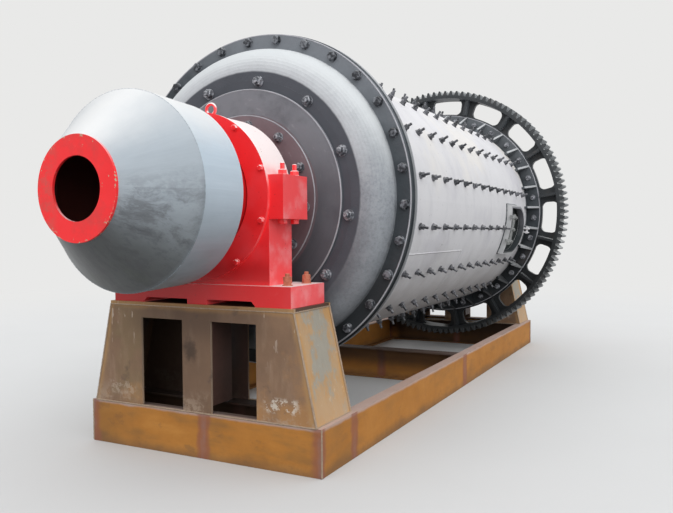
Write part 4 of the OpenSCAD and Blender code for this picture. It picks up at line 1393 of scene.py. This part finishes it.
def bearing_bolts(end):
    maker = Maker(end + "_bearing_bolts")
    way = outward[end]
    cover_y = outer_y(end, "_bearing_cover")
    bolt_circle(maker, cover_bolt_count, cover_bolt_radius, cover_first, cover_y, way, cover_nut)
    lug_x = high(end + "_bearing_body").x - lug_stud_in
    for x in (-lug_x, lug_x):
        for share in (0.25, 0.75):
            y = outer_y(end, "_bearing_body") - way * lug_depth * share
            up = standing(Vector((x, y, axis_z + lug_up)), (0, 0, 1), share)
            maker.nut_and_stud(up, **lug_nut)
            down = standing(Vector((x, y, axis_z - lug_down)), (0, 0, -1), share)
            maker.nut_and_stud(down, **lug_head)
    return maker.build("stand", red)


print("bolts of each cover:", cover_bolt_count)

# %% [markdown]
# Four anchor bolts hold each foot. They have a second nut, turned against the first so that neither works
# loose, and they were never painted. A nut and its lock nut at different angles tell that story at once.

# %% Anchor bolts
anchor_in = 0.075
anchor_nut = dict(across=0.046, washer_radius=0.031, stud_radius=0.014, stud_out=0.0, head_height=0.026)
lock_nut = dict(across=0.046, washer_radius=0.024, stud_radius=0.014, stud_out=0.018, head_height=0.024)
lock_turn = 0.4


def anchor_bolts(end):
    maker = Maker(end + "_anchor_bolts")
    foot_low, foot_high = low(end + "_bearing_foot"), high(end + "_bearing_foot")
    x_out = foot_high.x - anchor_in
    for x in (-x_out, x_out):
        for share in (0.22, 0.78):
            y = foot_low.y + (foot_high.y - foot_low.y) * share
            place = standing(Vector((x, y, foot_high.z)), (0, 0, 1), 0.6 * share)
            maker.nut_and_stud(place, **anchor_nut)
            upper = shifted(place, z=anchor_nut["head_height"]) @ Matrix.Rotation(lock_turn, 4, "Z")
            maker.nut_and_stud(upper, **lock_nut)
    return maker.build("stand", rusty_bolt)


for end in outward:
    bearing_bolts(end)
    anchor_bolts(end)

# %% [markdown]
# ## Welds of the stand
# The pedestals are cut from plate and welded along every edge, and so are the frame's corners. A bump along
# the edges would vanish in the outline. Each bead is geometry and follows the corner where two plates meet.

# %% Weld beads on the stand
wall_bead_radius, top_bead_radius, corner_bead_radius = 0.006, 0.0045, 0.005
top_bead_in, corner_from_z = 0.002, 0.004
foot_seed, top_seed, corner_seed = 40, 41, 60


def pedestal_welds(end):
    maker = TubeMaker(end + "_pedestal_welds")
    y_out, y_in = stand_end[end], inner_y(end, "_pedestal_inner_wall")
    wall_top = low(end + "_pedestal_top").z
    foot_half = high(end + "_pedestal_outer_wall").x
    top_half = high(end + "_pedestal_top").x - top_bead_in
    seed = 1
    for s in (-1, 1):
        foot_out, foot_in = (Vector((s * foot_half, y, beam_top)) for y in (y_out, y_in))
        top_out, top_in = (Vector((s * top_half, y, wall_top)) for y in (y_out, y_in))
        for a, b in ((foot_out, top_out), (foot_in, top_in), (foot_out, foot_in), (top_out, top_in)):
            maker.bead(between(a, b), wall_bead_radius, seed)
            seed += 1
    across_beads = (
        (foot_half, beam_top, wall_bead_radius, foot_seed),
        (top_half, wall_top, top_bead_radius, top_seed),
    )
    for y in (y_out, y_in):
        for half, z, bead_radius, across_seed in across_beads:
            maker.bead(between(Vector((-half, y, z)), Vector((half, y, z))), bead_radius, across_seed)
    return maker.build("stand", weld_metal, bead_smooth)


def frame_welds():
    maker = TubeMaker("frame_welds")
    seed = corner_seed
    for x in (-frame_side, frame_side):
        for y in stand_end.values():
            corner = between(Vector((x, y, corner_from_z)), Vector((x, y, beam_top)))
            maker.bead(corner, corner_bead_radius, seed)
            seed += 1
    return maker.build("stand", weld_metal, bead_smooth)


for end in outward:
    pedestal_welds(end)
frame_welds()

# %% [markdown]
